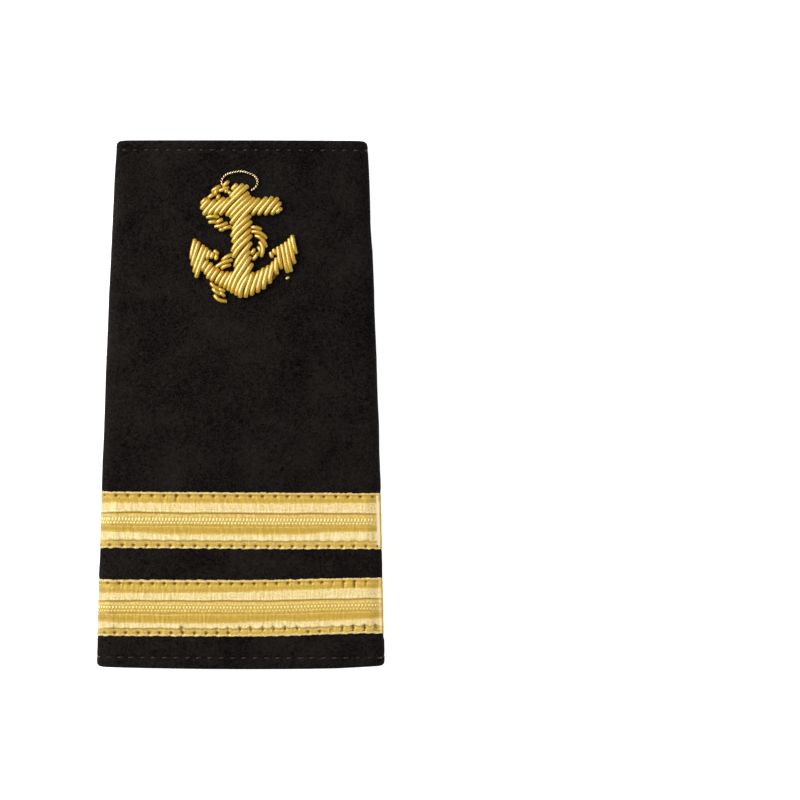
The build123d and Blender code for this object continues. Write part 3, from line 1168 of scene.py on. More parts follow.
def makeLace(row):
    across = [line["at"] for line in laceHeights]
    even = np.arange(0, laceShape["width"], laceShape["cellAlong"])
    v = np.unique(np.round(np.concatenate([even, across]), 3))
    v = v[np.concatenate([[True], np.diff(v) > 0.045])]
    cols = int(2 * skinRun(row["collarEdge"], laceShape["endInset"]) / laceShape["cellAcross"])
    share = np.linspace(-1, 1, cols)[None, :]
    v = np.repeat(v[:, None], cols, 1)
    u = share * skinRun(row["collarEdge"] - v, laceShape["endInset"])
    y = laceY(row, u, v)
    out, hole, bands = laceOut(row, u, v, y)
    seat = laceSeat(u, y)
    uv = np.stack([u, bands], -1).reshape(-1, 2)
    # marks for the painted reflection along the right fold (turned) and the painted shade round the side
    # beyond it (shaded)
    past = pastFold(u, y)
    run = laceShape["paintedStripRun"]
    inner = ease(v, 0.4, 0.65) * ease(-v, -11.4, -11.15)
    turned = row["turned"] * ease(past, -0.1, 0.1) * ease(-past, -run - 0.1, 0.1 - run) * inner
    shaded = ease(past, run - 0.1, run + 0.15) * ease(-past, -run - 1.9, -run - 1.6)
    marks = {
        name: np.concatenate([values.ravel(), 0 * values.ravel()])
        for name, values in (("hole", hole), ("turned", turned), ("shaded", shaded))
    }
    upper, lower = skinAt(u, y, out + seat), skinAt(u, y, seat - laceShape["sunk"])
    return addSlab(row["name"], upper, lower, np.concatenate([uv, uv]), marks)


# Woven rows of floats along the middle of each lace

floatRows = {
    "pitch": 0.70,
    "spread": (0.94, 1.06),     # least and most of a float's usual size
    "startInset": 3.2,          # the rows begin this far in, beneath the left fold
    "middle": 5.7,              # of the rows, across the lace
    "pastEnd": 0.7,             # they run on so far past the line where the painted strip begins
    "short": 0.8,               # less this much where that painted strip shows plainly
}


def makeFloat():
    # one thread float: a low oval swelling, one metre each way
    points, faces = [], []
    rings, sides = 5, 8
    for r in range(rings):
        t = -1 + 2 * (r + 0.5) / rings
        width = math.sqrt(1 - t * t)
        for s in range(sides):
            angle = 2 * math.pi * s / sides
            points.append((0.5 * width * math.cos(angle), 0.5 * t, 0.5 * width * math.sin(angle)))
    for r in range(rings - 1):
        for s in range(sides):
            a, b = r * sides + s, r * sides + (s + 1) % sides
            faces.append((a, a + sides, b + sides, b))
    faces.append(tuple(range(sides)))
    faces.append(tuple(range(rings * sides - 1, (rings - 1) * sides - 1, -1)))
    mesh = bpy.data.meshes.new("threadFloat")
    mesh.from_pydata(points, [], faces)
    mesh.polygons.foreach_set("use_smooth", [True] * len(faces))
    return facedOut(addPiece("threadFloat", mesh))


def makeFloatTree():
    tree, start, end = addGroup(
        "setFloats", "GeometryNodeTree",
        [
            ("Geometry", "Geometry"), ("Float", "Object"), ("Pitch", "Float", 0.0007), ("Lean", "Float", 0.0),
            ("Wide", "Float", 0.0003), ("Long", "Float", 0.0006), ("High", "Float", 0.0001),
            ("Seed", "Int", 1), ("Material", "Material"),
        ],
        [("Geometry", "Geometry")],
    )
    spots = addNode(tree, "GeometryNodeResampleCurve", {
        "Curve": start["Geometry"], "Length": start["Pitch"],
    }, mode="LENGTH").outputs[0]
    along = addNode(tree, "GeometryNodeInputTangent").outputs[0]
    up = vectorWork(tree, "CROSS_PRODUCT", along, (0, 1, 0))
    faced = addNode(tree, "FunctionNodeAlignRotationToVector", {"Vector": along}, axis="X").outputs[0]
    faced = addNode(tree, "FunctionNodeAlignRotationToVector", {
        "Rotation": faced, "Vector": up,
    }, axis="Z", pivot_axis="X").outputs[0]
    lean = addNode(tree, "ShaderNodeCombineXYZ", {2: start["Lean"]}).outputs[0]
    vary = randomValue(tree, "FLOAT", *floatRows["spread"], start["Seed"])
    wide, long = (work(tree, "MULTIPLY", start[side], vary) for side in ("Wide", "Long"))
    turned = turnedBy(tree, faced, lean)
    floats = placeCopies(tree, spots, start["Float"], turned, wide, long, start["High"])
    return finishTree(tree, floats, start, end)


def curveThrough(name, paths):
    # poly splines in one curve object; a fourth value of a point is its share of the full thickness
    curve = bpy.data.curves.new(name, "CURVE")
    curve.dimensions = "3D"
    for path in paths:
        spline = curve.splines.new("POLY")
        spline.points.add(len(path) - 1)
        for point, place in zip(spline.points, path):
            point.co = (*(float(value) * mm for value in place[:3]), 1)
            point.radius = place[3] if len(place) > 3 else 1
    return addPiece(name, curve)


def makeFloats(row, tree, shape, material):
    # from beneath the left fold as far as the turned end, with as many in each row
    pitch = floatRows["pitch"]
    first = -skinRun(row["collarEdge"], floatRows["startInset"])
    beyond = floatRows["pastEnd"] - floatRows["short"] * row["turned"]
    last = beyond - pastFold(0, row["collarEdge"] - floatRows["middle"])
    count = math.floor((last - first) / pitch)
    parts = []
    for n, line in enumerate(row["floats"]):
        u = first + line["shift"] + np.linspace(0, (count + 0.3) * pitch, 4 * count)
        v = np.full_like(u, line["at"])
        y = laceY(row, u, v)
        out = laceOut(row, u, v, y)[0] + laceSeat(u, y) - laceShape["sunk"]
        path = curveThrough(f"guide{n}", [skinAt(u, y, out)])
        parts.append(grow(f"floats{n}", path, tree, {
            "Float": shape, "Pitch": pitch * mm, "Lean": line["lean"],
            "Wide": line["wide"] * mm, "Long": line["long"] * mm, "High": line["high"] * mm,
            "Seed": row["seed"] + n, "Material": material,
        }))
    return joined(row["name"] + "Floats", parts)


def joined(name, parts):
    # several grown meshes as one piece
    mesh = bmesh.new()
    for part in parts:
        mesh.from_mesh(part.data)
    made = bpy.data.meshes.new(name)
    mesh.to_mesh(made)
    mesh.free()
    for material in parts[0].data.materials:
        made.materials.append(material)
    for part in parts:
        bpy.data.objects.remove(part)
    return addPiece(name, made)


floatLook = {
    "low": (0.80, 0.62, 0.22),
    "high": (0.92, 0.77, 0.36),
    "scale": 2200.0,
    "bump": (0.3, 0.03),
    "surface": {"Metallic": 0.3, "Roughness": 0.5, "Specular IOR Level": 0.3},
}


def makeFloatFinish(name):
    material, tree, shader = newMaterial(name)
    noise = addNode(tree, "ShaderNodeTexNoise", {
        "Vector": objectPlace(tree), "Scale": floatLook["scale"], "Detail": 2.0,
    }).outputs[0]
    shade = rescale(tree, noise, 0.3, 0.7)
    tree.links.new(mixColours(tree, shade, floatLook["low"], floatLook["high"]), shader["Base Color"])
    addBump(tree, shader, noise, *floatLook["bump"])
    setSurface(shader, floatLook)
    return material


# Wires, threads and cords are all laid along short curves

def smoothCurve(tree, curve, step):
    smooth = addNode(tree, "GeometryNodeCurveSplineType", {"Curve": curve}, spline_type="CATMULL_ROM")
    return addNode(tree, "GeometryNodeResampleCurve", {
        "Curve": smooth.outputs[0], "Length": step,
    }, mode="LENGTH").outputs[0]


def tubeAlong(tree, curve, sides, diameter):
    # a tube that notes how far round it each of its points lies
    ring = addNode(tree, "GeometryNodeCurvePrimitiveCircle", {"Resolution": sides, "Radius": 0.5}).outputs[0]
    share = addNode(tree, "GeometryNodeSplineParameter").outputs["Factor"]
    return addNode(tree, "GeometryNodeCurveToMesh", {
        "Curve": curve, "Profile Curve": storeValue(tree, ring, "turn", share), "Scale": diameter,
        "Fill Caps": True,
    }).outputs[0]


def makeWireTree():
    tree, start, end = addGroup(
        "layWire", "GeometryNodeTree",
        [
            ("Geometry", "Geometry"), ("Material", "Material"),
            ("Diameter", "Float", 0.0009), ("Step", "Float", 0.0003), ("Sides", "Int", 12),
            ("Coil Pitch", "Float", 0.00017), ("Coil Depth", "Float", 0.00003),
            ("End Round", "Float", 0.0003),
        ],
        [("Geometry", "Geometry")],
    )
    even = smoothCurve(tree, start["Geometry"], start["Step"])
    length = addNode(tree, "GeometryNodeSplineParameter").outputs["Length"]
    whole = addNode(tree, "GeometryNodeSplineLength").outputs["Length"]
    toEnd = work(tree, "MINIMUM", length, work(tree, "SUBTRACT", whole, length))
    near = work(tree, "MINIMUM", work(tree, "DIVIDE", toEnd, start["End Round"]), 1.0)
    # the thickness follows a quarter circle at both ends, down to a blunt tip
    full = work(tree, "SQRT", work(tree, "MULTIPLY", near, work(tree, "SUBTRACT", 2.0, near)))
    radius = addNode(tree, "GeometryNodeInputRadius").outputs[0]
    full = work(tree, "MULTIPLY", work(tree, "MAXIMUM", full, 0.25), radius)
    curve = storeValue(tree, even, "along", work(tree, "MULTIPLY", length, 1 / mm))
    curve = storeValue(tree, curve, "full", full)
    tube = tubeAlong(tree, curve, start["Sides"], work(tree, "MULTIPLY", start["Diameter"], full))
    turns = work(tree, "DIVIDE", work(tree, "MULTIPLY", storedValue(tree, "along"), mm), start["Coil Pitch"])
    turns = work(tree, "ADD", turns, storedValue(tree, "turn"))
    wave = work(tree, "COSINE", work(tree, "MULTIPLY", turns, 2 * math.pi))
    wave = work(tree, "MULTIPLY", wave, storedValue(tree, "full"))
    rise = work(tree, "MULTIPLY", wave, work(tree, "MULTIPLY", start["Coil Depth"], 0.5))
    normal = addNode(tree, "GeometryNodeInputNormal").outputs[0]
    coiled = addNode(tree, "GeometryNodeSetPosition", {
        "Geometry": tube, "Offset": vectorWork(tree, "SCALE", normal, rise),
    }).outputs[0]
    return finishTree(tree, coiled, start, end)


def makeCordTree():
    # strands laid round one another along a curve
    tree, start, end = addGroup(
        "twistCord", "GeometryNodeTree",
        [
            ("Geometry", "Geometry"), ("Material", "Material"),
            ("Strand", "Float", 0.0003), ("Lay", "Float", 0.0011), ("Strands", "Int", 2), ("Sides", "Int", 8),
        ],
        [("Geometry", "Geometry")],
    )
    even = smoothCurve(tree, start["Geometry"], work(tree, "DIVIDE", start["Lay"], 14.0))
    level = addNode(tree, "GeometryNodeSetCurveNormal", {0: even}, mode="Z_UP").outputs[0]
    length = addNode(tree, "GeometryNodeSplineParameter").outputs["Length"]
    copies = addNode(tree, "GeometryNodeDuplicateElements", {
        "Geometry": storeValue(tree, level, "along", work(tree, "MULTIPLY", length, 1 / mm)),
        "Amount": start["Strands"],
    }, domain="SPLINE").outputs
    share = work(tree, "DIVIDE", copies["Duplicate Index"], start["Strands"])
    turns = work(tree, "ADD", work(tree, "DIVIDE", length, start["Lay"]), share)
    angle = work(tree, "MULTIPLY", turns, 2 * math.pi)
    normal = addNode(tree, "GeometryNodeInputNormal").outputs[0]
    tangent = addNode(tree, "GeometryNodeInputTangent").outputs[0]
    aside = vectorWork(tree, "CROSS_PRODUCT", normal, tangent)
    outward = vectorWork(tree, "ADD",
        vectorWork(tree, "SCALE", normal, work(tree, "COSINE", angle)),
        vectorWork(tree, "SCALE", aside, work(tree, "SINE", angle)),
    )
    offset = vectorWork(tree, "SCALE", outward, work(tree, "MULTIPLY", start["Strand"], 0.5))
    rise = addNode(tree, "ShaderNodeSeparateXYZ", {0: outward}).outputs[2]
    twisted = storeValue(tree, copies["Geometry"], "under", work(tree, "MULTIPLY_ADD", rise, -0.5, 0.5))
    laid = addNode(tree, "GeometryNodeSetPosition", {"Geometry": twisted, "Offset": offset}).outputs[0]
    # a strand swells where it lies on top and thins where it dips
    swell = work(tree, "MULTIPLY", start["Strand"], work(tree, "MULTIPLY_ADD", rise, 0.3, 0.8))
    return finishTree(tree, tubeAlong(tree, laid, start["Sides"], swell), start, end)


def stitchPath(u0, u1, y0, y1, sizes, surface):
    # a short thread that comes up at one hole and goes down at the next
    share = np.array([0.0, 0.07, 0.2, 0.5, 0.8, 0.93, 1.0])
    arch = np.array(sizes["arch"])
    u = u0 + (u1 - u0) * share
    y = y0 + (y1 - y0) * share
    return skinAt(u, y, surface(u, y) + np.where(arch > 0, sizes["height"] * arch, sizes["sink"] * arch))


laceThread = {
    "diameter": 0.20,
    "height": 0.03,
    "sink": 0.22,
    "arch": (-1.0, -0.4, 0.3, 1.0, 0.8, -0.1, -1.0),
    "short": 0.40,          # it comes up this share of the way out of its hole
    "coilPitch": laceThreadLook["plyPitch"],
    "coilDepth": 0.02,
    "step": 0.08,
    "sides": 8,
    "endRound": 0.1,
}


def laceStitchPaths():
    # each stitch sinks into the lace, so that only the bit beside its hole shows
    paths = []
    for row in laces:
        reach = skinRun(row["collarEdge"], sleeve["lastStitch"])
        for n, line in enumerate(row["stitchRows"]):
            for place in rowPlaces(line, reach, row["seed"] + n):
                shares = np.array([laceThread["short"], 1.0])
                ends = place + shares * line["tail"][0]
                across = alongLine(line["across"], place) + shares * line["tail"][1]
                y = laceY(row, ends, across)

                def surface(u, along, row=row, across=across, y=y):
                    v = np.interp(-along, -y, across)
                    return laceOut(row, u, v, along)[0] + laceSeat(u, along)
                paths.append(stitchPath(*ends, *y, laceThread, surface))
    return paths


def hemStitchPaths():
    paths = []
    for hem in hems:
        uneven = np.random.default_rng(hem["seed"])
        for place in hemPlaces(hem, skinRun(hem["y"], sleeve["lastStitch"])):
            ends = np.array([place, place + hem["length"]]) + uneven.normal(0, hemThread["stray"], 2)
            sunk = uneven.uniform(0, hemThread["hidden"])

            def surface(u, y, sunk=sunk):
                return clothOut(u, y) - sunk
            slant = (hem["y"] - hemThread["slant"], hem["y"] + hemThread["slant"])
            paths.append(stitchPath(*ends, *slant, hemThread, surface))
    return paths


def panelStitchPaths():
    # along both long sides of the back panel, seen from below
    paths = []
    half = (panelHigh[1] - panelLow[1]) / 2
    share = np.array([0.0, 0.08, 0.25, 0.5, 0.75, 0.92, 1.0])
    dip = np.array([0.45, 0.2, 0.04, 0.0, 0.04, 0.2, 0.45])
    for side in (-1, 1):
        for start in np.arange(-half + 1.4, half - backPanel["stitchLength"] - 1.0, backPanel["stitchPitch"]):
            y = start + backPanel["stitchLength"] * share
            x = side * (halfWidth(y) - backPanel["inset"] - backPanel["stitchInset"])
            z = panelLow[2] + backPanel["rest"] + 0.5 * hemThread["diameter"] + dip
            paths.append(np.stack([x, y, z], -1))
    return paths


# Anchor

anchor = {
    "diameter": 0.98,       # of the coiled wire
    "seat": 0.42,           # height of a wire's centre line at its ends
    "rise": 0.62,           # and this much more over the padding
    "coilPitch": wireLook["coilPitch"],
    "coilDepth": 0.009,
    "step": wireLook["coilPitch"] / 4,
    "sides": 12,
    "endRound": 0.3,        # length of the rounding at a wire's ends
    # the ends below were read along each wire's shine, which is off its centre
    "aside": (0.13, -0.11),
    "trim": 0.08,           # and reach this much too far
}

# Lengths of wire, foot to head, in the order they were laid
anchorFields = [
    {
        "part": "stock, left", "lift": 0.9, "bow": 0.10, "thick": 1.04,
        "feet": [(-8.4, 40.7), (-7.95, 39.5), (-7.0, 39.5), (-5.7, 39.6)],
        "heads": [(-6.7, 42.7), (-5.5, 42.6), (-3.6, 43.1), (-2.6, 43.0)],
    },
    {
        "part": "cap", "lift": 0.8, "bow": 0.05, "thick": 1.0,
        "feet": [(-2.0, 44.7), (-2.4, 43.1)],
        "heads": [(-1.0, 45.9), (0.3, 45.9)],
    },
    {
        "part": "crossing", "lift": 1.1, "bow": 0.20, "thick": 1.04,
        "feet": [(-4.6, 39.5), (-3.2, 39.3), (-2.4, 38.9), (-2.3, 37.6), (-1.9, 36.3)],
        "heads": [(1.3, 45.7), (1.4, 44.3), (1.8, 43.5), (2.7, 43.1), (3.7, 43.0)],
    },
    {
        "part": "stock, right", "lift": 0.9, "bow": 0.10, "thick": 1.0,
        "feet": [(2.1, 39.5), (3.4, 39.5), (4.8, 39.5), (6.2, 39.6), (7.2, 39.95)],
        "heads": [(5.2, 43.2), (6.4, 43.3), (7.5, 43.1), (8.0, 42.15), (8.2, 40.95)],
    },
    {
        "part": "shank", "lift": 1.0, "bow": 0.30, "thick": 1.06,
        "feet": [(-2.1, 34.9), (-1.9, 33.7), (-2.0, 31.8), (-1.8, 30.6), (-1.4, 28.6)],
        "heads": [(1.8, 39.5), (2.0, 38.3), (1.8, 36.6), (2.0, 35.4), (2.0, 33.9)],
    },
    {
        "part": "crown", "lift": 1.0, "bow": 0.45, "thick": 1.12,
        "feet": [(-2.8, 23.7), (-2.0, 23.2), (-1.1, 22.75), (-0.3, 22.3)],
        "heads": [(1.6, 32.2), (1.8, 31.0), (2.2, 29.5), (1.6, 27.5)],
    },
    {
        "part": "arm, left", "lift": 0.9, "bow": 0.10, "thick": 1.0,
        "feet": [
            (-8.2, 27.9), (-7.6, 27.2), (-7.1, 26.3), (-6.3, 25.8), (-5.3, 25.3), (-4.5, 24.7), (-3.6, 24.3),
        ],
        "heads": [
            (-7.1, 30.1), (-6.2, 29.5), (-5.6, 28.7), (-4.8, 28.3), (-3.9, 27.8), (-2.8, 27.7), (-1.9, 27.6),
        ],
    },
    {
        "part": "arm, right", "lift": 0.9, "bow": 0.15, "thick": 1.12,
        "feet": [(0.8, 22.35), (2.0, 22.8), (3.3, 23.4), (4.5, 24.1), (5.8, 25.3), (7.3, 27.2)],
        "heads": [(2.4, 27.6), (3.7, 27.9), (4.6, 28.5), (5.6, 29.0), (6.6, 29.8), (7.2, 30.6)],
    },
    {
        "part": "fluke, left", "lift": 0.9, "bow": 0.10, "thick": 1.0,
        "feet": [(-10.45, 30.3), (-10.25, 28.9), (-9.9, 27.5), (-9.5, 26.4)],
        "heads": [(-9.7, 34.5), (-8.9, 34.0), (-7.9, 33.3), (-7.2, 32.8)],
    },
    {
        "part": "barb, left", "lift": 0.8, "bow": 0.0, "thick": 0.92,
        "feet": [(-7.3, 30.3), (-6.4, 30.5), (-5.4, 30.2), (-4.9, 31.4)],
        "heads": [(-6.6, 32.2), (-5.9, 31.7), (-5.2, 31.2), (-5.7, 32.1)],
    },
    {
        "part": "fluke, right", "lift": 0.9, "bow": 0.10, "thick": 1.0,
        "feet": [(11.3, 31.5), (11.0, 29.4), (10.3, 27.7), (9.6, 27.5), (8.3, 28.3)],
        "heads": [(10.4, 35.3), (9.8, 34.7), (9.1, 34.0), (8.3, 33.5), (7.5, 33.0)],
    },
    {
        "part": "loose end, right", "lift": 0.5, "bow": 0.0, "thick": 0.62,
        "feet": [(9.15, 26.2)],
        "heads": [(9.85, 26.7)],
    },
    {
        "part": "barb, right", "lift": 0.8, "bow": 0.0, "thick": 0.92,
        "feet": [(7.0, 31.4), (6.3, 30.7)],
        "heads": [(6.6, 32.4), (6.0, 31.8)],
    },
]


def anchorPaths():
    paths = []
    share = np.array([0.0, 0.06, 0.14, 0.26, 0.4, 0.55, 0.7, 0.84, 0.94, 1.0])[:, None]
    for field in anchorFields:
        for foot, head in zip(field["feet"], field["heads"]):
            foot, head = (np.array(end) + anchor["aside"] for end in (foot, head))
            run = head - foot
            reach = np.hypot(*run)
            foot, run = foot + anchor["trim"] / reach * run, (1 - 2 * anchor["trim"] / reach) * run
            aside = np.array([-abs(run[1]), run[0] * np.sign(run[1])]) / reach
            # it bows out most a third of the way along
            flat = foot + share * run + 6.75 * field["bow"] * share * (1 - share) ** 2 * aside
            arch = (1 - np.abs(2 * share[:, 0] - 1) ** 4) * min(1, 0.4 + 0.15 * reach)
            z = faceHeight(flat[:, 0], flat[:, 1]) + anchor["seat"] + anchor["rise"] * field["lift"] * arch
            paths.append(np.column_stack([flat, z, np.full_like(z, field["thick"])]))
    return paths


# Padding under the wires: strips with a rounded top, as a line of places and half widths

anchorPadding = [
    {
        "part": "stock", "height": 0.60,
        "line": [(-7.6, 41.2, 1.0), (-6.0, 41.3, 1.5), (5.5, 41.3, 1.5), (7.6, 41.2, 0.9)],
    },
    {
        "part": "shank", "height": 0.72,
        "line": [(0.0, 45.0, 1.3), (0.0, 38.0, 1.6), (0.2, 31.0, 1.5), (-0.2, 25.0, 1.6)],
    },
    {
        "part": "arms", "height": 0.62,
        "line": [
            (-8.0, 29.0, 1.0), (-5.8, 27.2, 1.2), (-3.0, 25.9, 1.6), (0.4, 25.2, 2.2),
            (3.4, 25.8, 1.9), (5.8, 27.2, 1.6), (7.6, 29.2, 1.2),
        ],
    },
    {
        "part": "fluke, left", "height": 0.52,
        "line": [(-9.0, 33.2, 0.5), (-9.1, 31.2, 1.0), (-9.4, 28.0, 0.7)],
    },
    {
        "part": "barb, left", "height": 0.45,
        "line": [(-8.2, 30.8, 0.9), (-6.2, 31.0, 0.6), (-5.3, 30.8, 0.3)],
    },
    {
        "part": "fluke, right", "height": 0.52,
        "line": [(9.9, 33.8, 0.5), (9.9, 31.4, 1.1), (9.9, 28.6, 0.8)],
    },
    {
        "part": "barb, right", "height": 0.45,
        "line": [(8.8, 31.2, 0.9), (7.0, 31.6, 0.5), (6.2, 31.3, 0.3)],
    },
    {
        "part": "rope to the ring", "height": 0.35,
        "line": [(-7.4, 42.5, 0.3), (-5.6, 43.9, 0.5), (-3.6, 45.3, 0.4)],
    },
    {
        "part": "rope, under the stock", "height": 0.40,
        "line": [(-6.4, 38.7, 0.5), (-4.6, 37.9, 0.7), (-2.6, 37.1, 0.5)],
    },
    {
        "part": "rope, right loop", "height": 0.40,
        "line": [(2.4, 36.4, 0.5), (4.0, 35.4, 0.5), (4.6, 33.4, 0.5), (3.9, 31.6, 0.5), (2.4, 30.9, 0.4)],
    },
    {
        "part": "rope, left turn", "height": 0.40,
        "line": [(-4.8, 28.9, 0.4), (-3.6, 29.5, 0.7), (-2.1, 30.5, 0.5)],
    },
    {
        "part": "rope's tail", "height": 0.40,
        "line": [(-5.2, 24.6, 0.5), (-4.8, 23.6, 0.6), (-4.3, 22.5, 0.5)],
    },
]


def makePadding():
    points, faces = [], []
    angles = np.linspace(0, math.pi, 9)
    for strip in anchorPadding:
        line = np.array(strip["line"])
        run = np.concatenate([[0], np.cumsum(np.hypot(*np.diff(line[:, :2], axis=0).T))])
        at = np.linspace(0, run[-1], 24)
        x, y, wide = (np.interp(at, run, line[:, n]) for n in range(3))
        ways = np.stack([np.gradient(x), np.gradient(y)], -1)
        ways = ways / np.linalg.norm(ways, axis=1, keepdims=True)
        ends = np.sqrt(np.clip(1 - np.abs(2 * at / run[-1] - 1) ** 10, 0.02, 1))
        first = len(points)
        for n in range(len(at)):
            across = np.array([-ways[n, 1], ways[n, 0]]) * wide[n] * ends[n]
            for angle in angles:
                place = np.array([x[n], y[n]]) + across * math.cos(angle)
                lift = strip["height"] * ends[n] * math.sin(angle) - 0.05
                points.append((*place, float(faceHeight(*place)) + lift))
        cols = len(angles)
        for n in range(len(at) - 1):
            for c in range(cols):
                a, b = first + n * cols + c, first + n * cols + (c + 1) % cols
                faces.append((a, b, b + cols, a + cols))
        faces.append(tuple(range(first, first + cols)))
        faces.append(tuple(range(first + (len(at) - 1) * cols, first + len(at) * cols))[::-1])
    return facedOut(addMesh("anchorPadding", points, faces))


# Rope: short lengths of thinner wire across its run, each as two or three places

rope = {
    "diameter": 0.84,
    "seat": 0.36,
    "coilPitch": wireLook["coilPitch"],
    "coilDepth": 0.012,
    "step": wireLook["coilPitch"] / 4,
    "sides": 10,
    "endRound": 0.25,
}

ropeStretches = [
    {
        "node": "rope_ring_to_stock", "rise": 0.55,
        "chips": [
            [(-8.4, 41.9), (-7.4, 42.9)],
            [(-6.9, 43.1), (-5.8, 43.9)],
            [(-5.1, 42.8), (-4.7, 43.6)],
            [(-5.6, 43.7), (-5.2, 44.8)],
            [(-6.1, 44.4), (-5.5, 44.9), (-4.6, 45.5)],
            [(-4.8, 44.5), (-3.8, 44.8), (-2.8, 45.3)],
            [(-3.9, 45.4), (-3.3, 46.0), (-2.8, 46.4)],
            [(-3.4, 44.4), (-2.9, 44.5)],
            [(-2.7, 44.2), (-2.2, 43.9)],
        ],
    },
    {
        "node": "rope_under_stock", "rise": 0.45,
        "chips": [
            [(-7.3, 39.0), (-6.0, 39.2), (-4.8, 39.1)],
            [(-6.8, 38.0), (-5.2, 38.1)],
            [(-5.2, 37.9), (-4.1, 38.6)],
            [(-5.6, 37.1), (-4.3, 37.3), (-3.0, 37.9)],
            [(-3.8, 36.7), (-2.3, 37.1)],
            [(-4.5, 36.4), (-3.8, 36.5)],
        ],
    },
    {
        "node": "rope_right_loop", "rise": 0.5,
        "chips": [
            [(1.9, 36.9), (3.0, 36.9), (4.0, 36.5)],
            [(1.9, 36.0), (3.8, 35.8), (5.1, 34.6)],
            [(2.8, 35.2), (4.2, 34.5), (5.1, 32.8)],
            [(3.6, 33.9), (4.4, 32.6), (4.0, 30.8)],
            [(3.3, 31.6), (2.9, 30.9), (2.4, 30.3)],
            [(3.4, 32.8), (3.8, 32.3), (3.8, 31.7)],
            [(2.6, 32.4), (2.1, 31.4)],
        ],
    },
    {
        "node": "rope_left_turn", "rise": 0.5,
        "chips": [
            [(-4.0, 30.1), (-3.1, 30.8), (-2.0, 31.3)],
            [(-5.4, 28.6), (-3.8, 29.6), (-1.9, 30.2)],
            [(-4.2, 28.4), (-3.3, 28.9), (-2.4, 29.1)],
        ],
    },
    {
        "node": "rope_tail", "rise": 0.45,
        "chips": [
            [(-6.4, 25.4), (-5.6, 24.6), (-4.5, 24.2)],
            [(-4.7, 24.1), (-3.6, 23.7)],
            [(-6.0, 24.2), (-5.2, 23.5), (-4.4, 23.1)],
            [(-4.4, 23.4), (-3.6, 22.7)],
            [(-5.6, 22.9), (-4.7, 21.9), (-3.1, 21.6)],
        ],
    },
]


def ropePaths():
    paths = []
    share = np.array([0.0, 0.08, 0.2, 0.35, 0.5, 0.65, 0.8, 0.92, 1.0])[:, None]
    for stretch in ropeStretches:
        for chip in stretch["chips"]:
            foot, head = (np.array(end) + anchor["aside"] for end in (chip[0], chip[-1]))
            middle = np.array(chip[1]) + anchor["aside"] if len(chip) == 3 else (foot + head) / 2
            # a parabola through the three
            flat = foot * (1 - share) * (1 - 2 * share) + middle * 4 * share * (1 - share)
            flat = flat + head * share * (2 * share - 1)
            arch = (1 - np.abs(2 * share[:, 0] - 1) ** 3) * stretch["rise"]
            z = faceHeight(flat[:, 0], flat[:, 1]) + rope["seat"] + arch
            paths.append(np.column_stack([flat, z]))
    return paths


# Ring of twisted cord

anchorRing = {
    "middle": (-0.35, 46.27),
    "halfWide": 3.75,
    "halfHigh": 2.19,
    "from": -52,            # degrees, at the cap's right side
    "to": 232,              # at its left, under the rope
    "strand": 0.32,
    "lay": 1.1,
    "lift": 0.36,
}


def ringPaths():
    angle = np.radians(np.linspace(anchorRing["from"], anchorRing["to"], 60))
    x = anchorRing["middle"][0] + anchorRing["halfWide"] * np.cos(angle)
    y = anchorRing["middle"][1] + anchorRing["halfHigh"] * np.sin(angle)
    return [np.stack([x, y, faceHeight(x, y) + anchorRing["lift"]], -1)]


# Build

felt = makeFibreFinish("blackFelt", feltLook)
feltBack = makeFibreFinish("blackFeltBack", feltLook, brightness=0.92, scale=0.8)
napFinish = makeFibreFinish("blackNap", napLook)
lintFinish = makeFibreFinish("paleLint", napLook, brightness=3.0)
hemFinish = makeThreadFinish("blackThread", hemThreadLook)
laceFinish = makeLaceFinish("goldLace")
floatFinish = makeFloatFinish("goldFloats")
laceThreadFinish = makeThreadFinish("goldThread", laceThreadLook)
wireFinish = makeWireFinish("giltWire")
cordFinish = makeCordFinish("giltCord")
paddingFinish = makeFibreFinish("shadedYellowPadding", paddingLook)
print("finishes made")

cloth = finished(makeFaceCloth(), "felt", "face_cloth", material=felt)

panel = finished(makeBackPanel(), "felt_back", "back_panel", material=feltBack)

hair = makeHair()
napTree = makeNapTree()
for name, looks, finish in (("feltNap", nap, napFinish), ("feltLint", lint, lintFinish)):
    finished(grow(name, makeNapGround(), napTree, {
        "Hair": hair, "Density": looks["density"] / mm**2, "Length": looks["length"] * mm,
        "Thickness": looks["thickness"] * mm, "Seed": looks["seed"], "Material": finish,
    }), "felt")

floatTree = makeFloatTree()
threadFloat = makeFloat()
for row in laces:
    piece = finished(makeLace(row), "gold_lace", row["node"], material=laceFinish)
    finished(makeFloats(row, floatTree, threadFloat, floatFinish), "gold_lace")

wireTree = makeWireTree()


def layPaths(name, paths, sizes, finish, slot, *nodes):
    laid = grow(name, curveThrough(name + "Paths", paths), wireTree, {
        "Diameter": sizes["diameter"] * mm, "Step": sizes["step"] * mm, "Sides": sizes["sides"],
        "Coil Pitch": sizes["coilPitch"] * mm, "Coil Depth": sizes["coilDepth"] * mm,
        "End Round": sizes["endRound"] * mm, "Material": finish,
    })
    finished(laid, slot, *nodes)


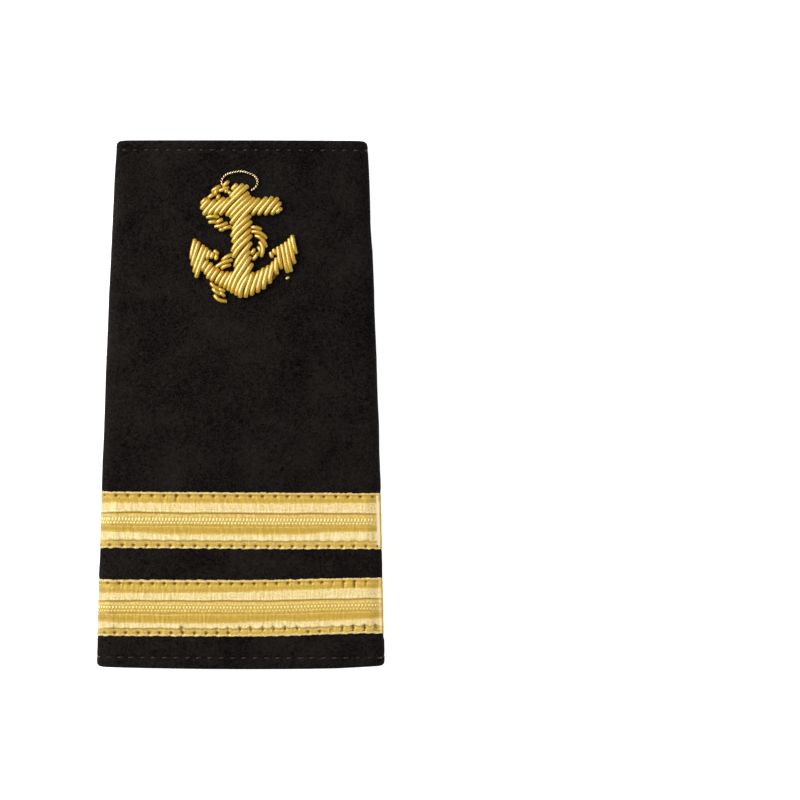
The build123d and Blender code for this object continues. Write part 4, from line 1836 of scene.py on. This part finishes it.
layPaths("laceStitches", laceStitchPaths(), laceThread, laceThreadFinish, "gold_lace")
layPaths("hemStitches", hemStitchPaths(), hemThread, hemFinish, "felt")
layPaths("panelStitches", panelStitchPaths(), hemThread, hemFinish, "felt_back")
finished(makePadding(), "gold_wire", material=paddingFinish)
layPaths("anchorWires", anchorPaths(), anchor, wireFinish, "gold_wire", "anchor")
ropeNodes = [stretch["node"] for stretch in ropeStretches]
layPaths("ropeChips", ropePaths(), rope, wireFinish, "gold_wire", *ropeNodes)
finished(grow("anchorRing", curveThrough("ringPath", ringPaths()), makeCordTree(), {
    "Strand": anchorRing["strand"] * mm, "Lay": anchorRing["lay"] * mm, "Strands": 2, "Sides": 8,
    "Material": cordFinish,
}), "gold_cord", "anchor_ring")

for helper in (hair, threadFloat):
    bpy.data.objects.remove(helper)


# Floor, light and camera

studio = {
    "frameWidth": 166.2,        # what the view takes in at the height of the face
    "aim": (33.05, 1.05),
    "roll": 0.12,               # degrees that the slide lies askew in the view
    "lens": 250.0,
    "sensor": 36.0,
    "world": 0.27,
}

floorLook = {
    "reach": 3000.0,
    "drop": 0.05,
    "surface": {
        "Base Color": (0.85, 0.85, 0.85, 1), "Roughness": 0.9, "Specular IOR Level": 0.0,
        "Emission Color": (1, 1, 1, 1), "Emission Strength": 0.85,
    },
}

lamps = [
    {"name": "keyLeft", "place": (-1200, 546, 1110), "size": (1500, 1500), "power": 45.0},
    {"name": "fillRight", "place": (1200, -200, 1000), "size": (2200, 2200), "power": 7.0},
]


def addFloor():
    reach, z = floorLook["reach"], -floorLook["drop"]
    corners = [(-reach, -reach, z), (reach, -reach, z), (reach, reach, z), (-reach, reach, z)]
    floor = addMesh("floor", corners, [(0, 1, 2, 3)])
    material, _, shader = newMaterial("paleFloor")
    setSurface(shader, floorLook)
    floor.data.materials.append(material)


def addLamps():
    for row in lamps:
        lamp = bpy.data.lights.new(row["name"], "AREA")
        lamp.shape = "RECTANGLE"
        lamp.size, lamp.size_y = (side * mm for side in row["size"])
        lamp.energy = row["power"]
        made = addPiece(row["name"], lamp)
        made.location = Vector(row["place"]) * mm
        made.rotation_euler = (-Vector(row["place"])).to_track_quat("-Z", "Y").to_euler()


def addCamera():
    camera = bpy.data.cameras.new("camera")
    camera.lens = studio["lens"]
    camera.sensor_width = studio["sensor"]
    camera.clip_start = 0.01
    made = addPiece("camera", camera)
    away = studio["frameWidth"] * studio["lens"] / studio["sensor"]
    made.location = Vector((*studio["aim"], sleeve["top"] + away)) * mm
    made.rotation_euler = (0, 0, math.radians(studio["roll"]))
    bpy.context.scene.camera = made


def addWorld():
    world = bpy.data.worlds.new("studio")
    world.use_nodes = True
    world.node_tree.nodes["Background"].inputs[1].default_value = studio["world"]
    world.node_tree.nodes["Background"].inputs[0].default_value = (1, 1, 1, 1)
    bpy.context.scene.world = world
    bpy.context.scene.view_settings.view_transform = "Standard"


addFloor()
addLamps()
addCamera()
addWorld()
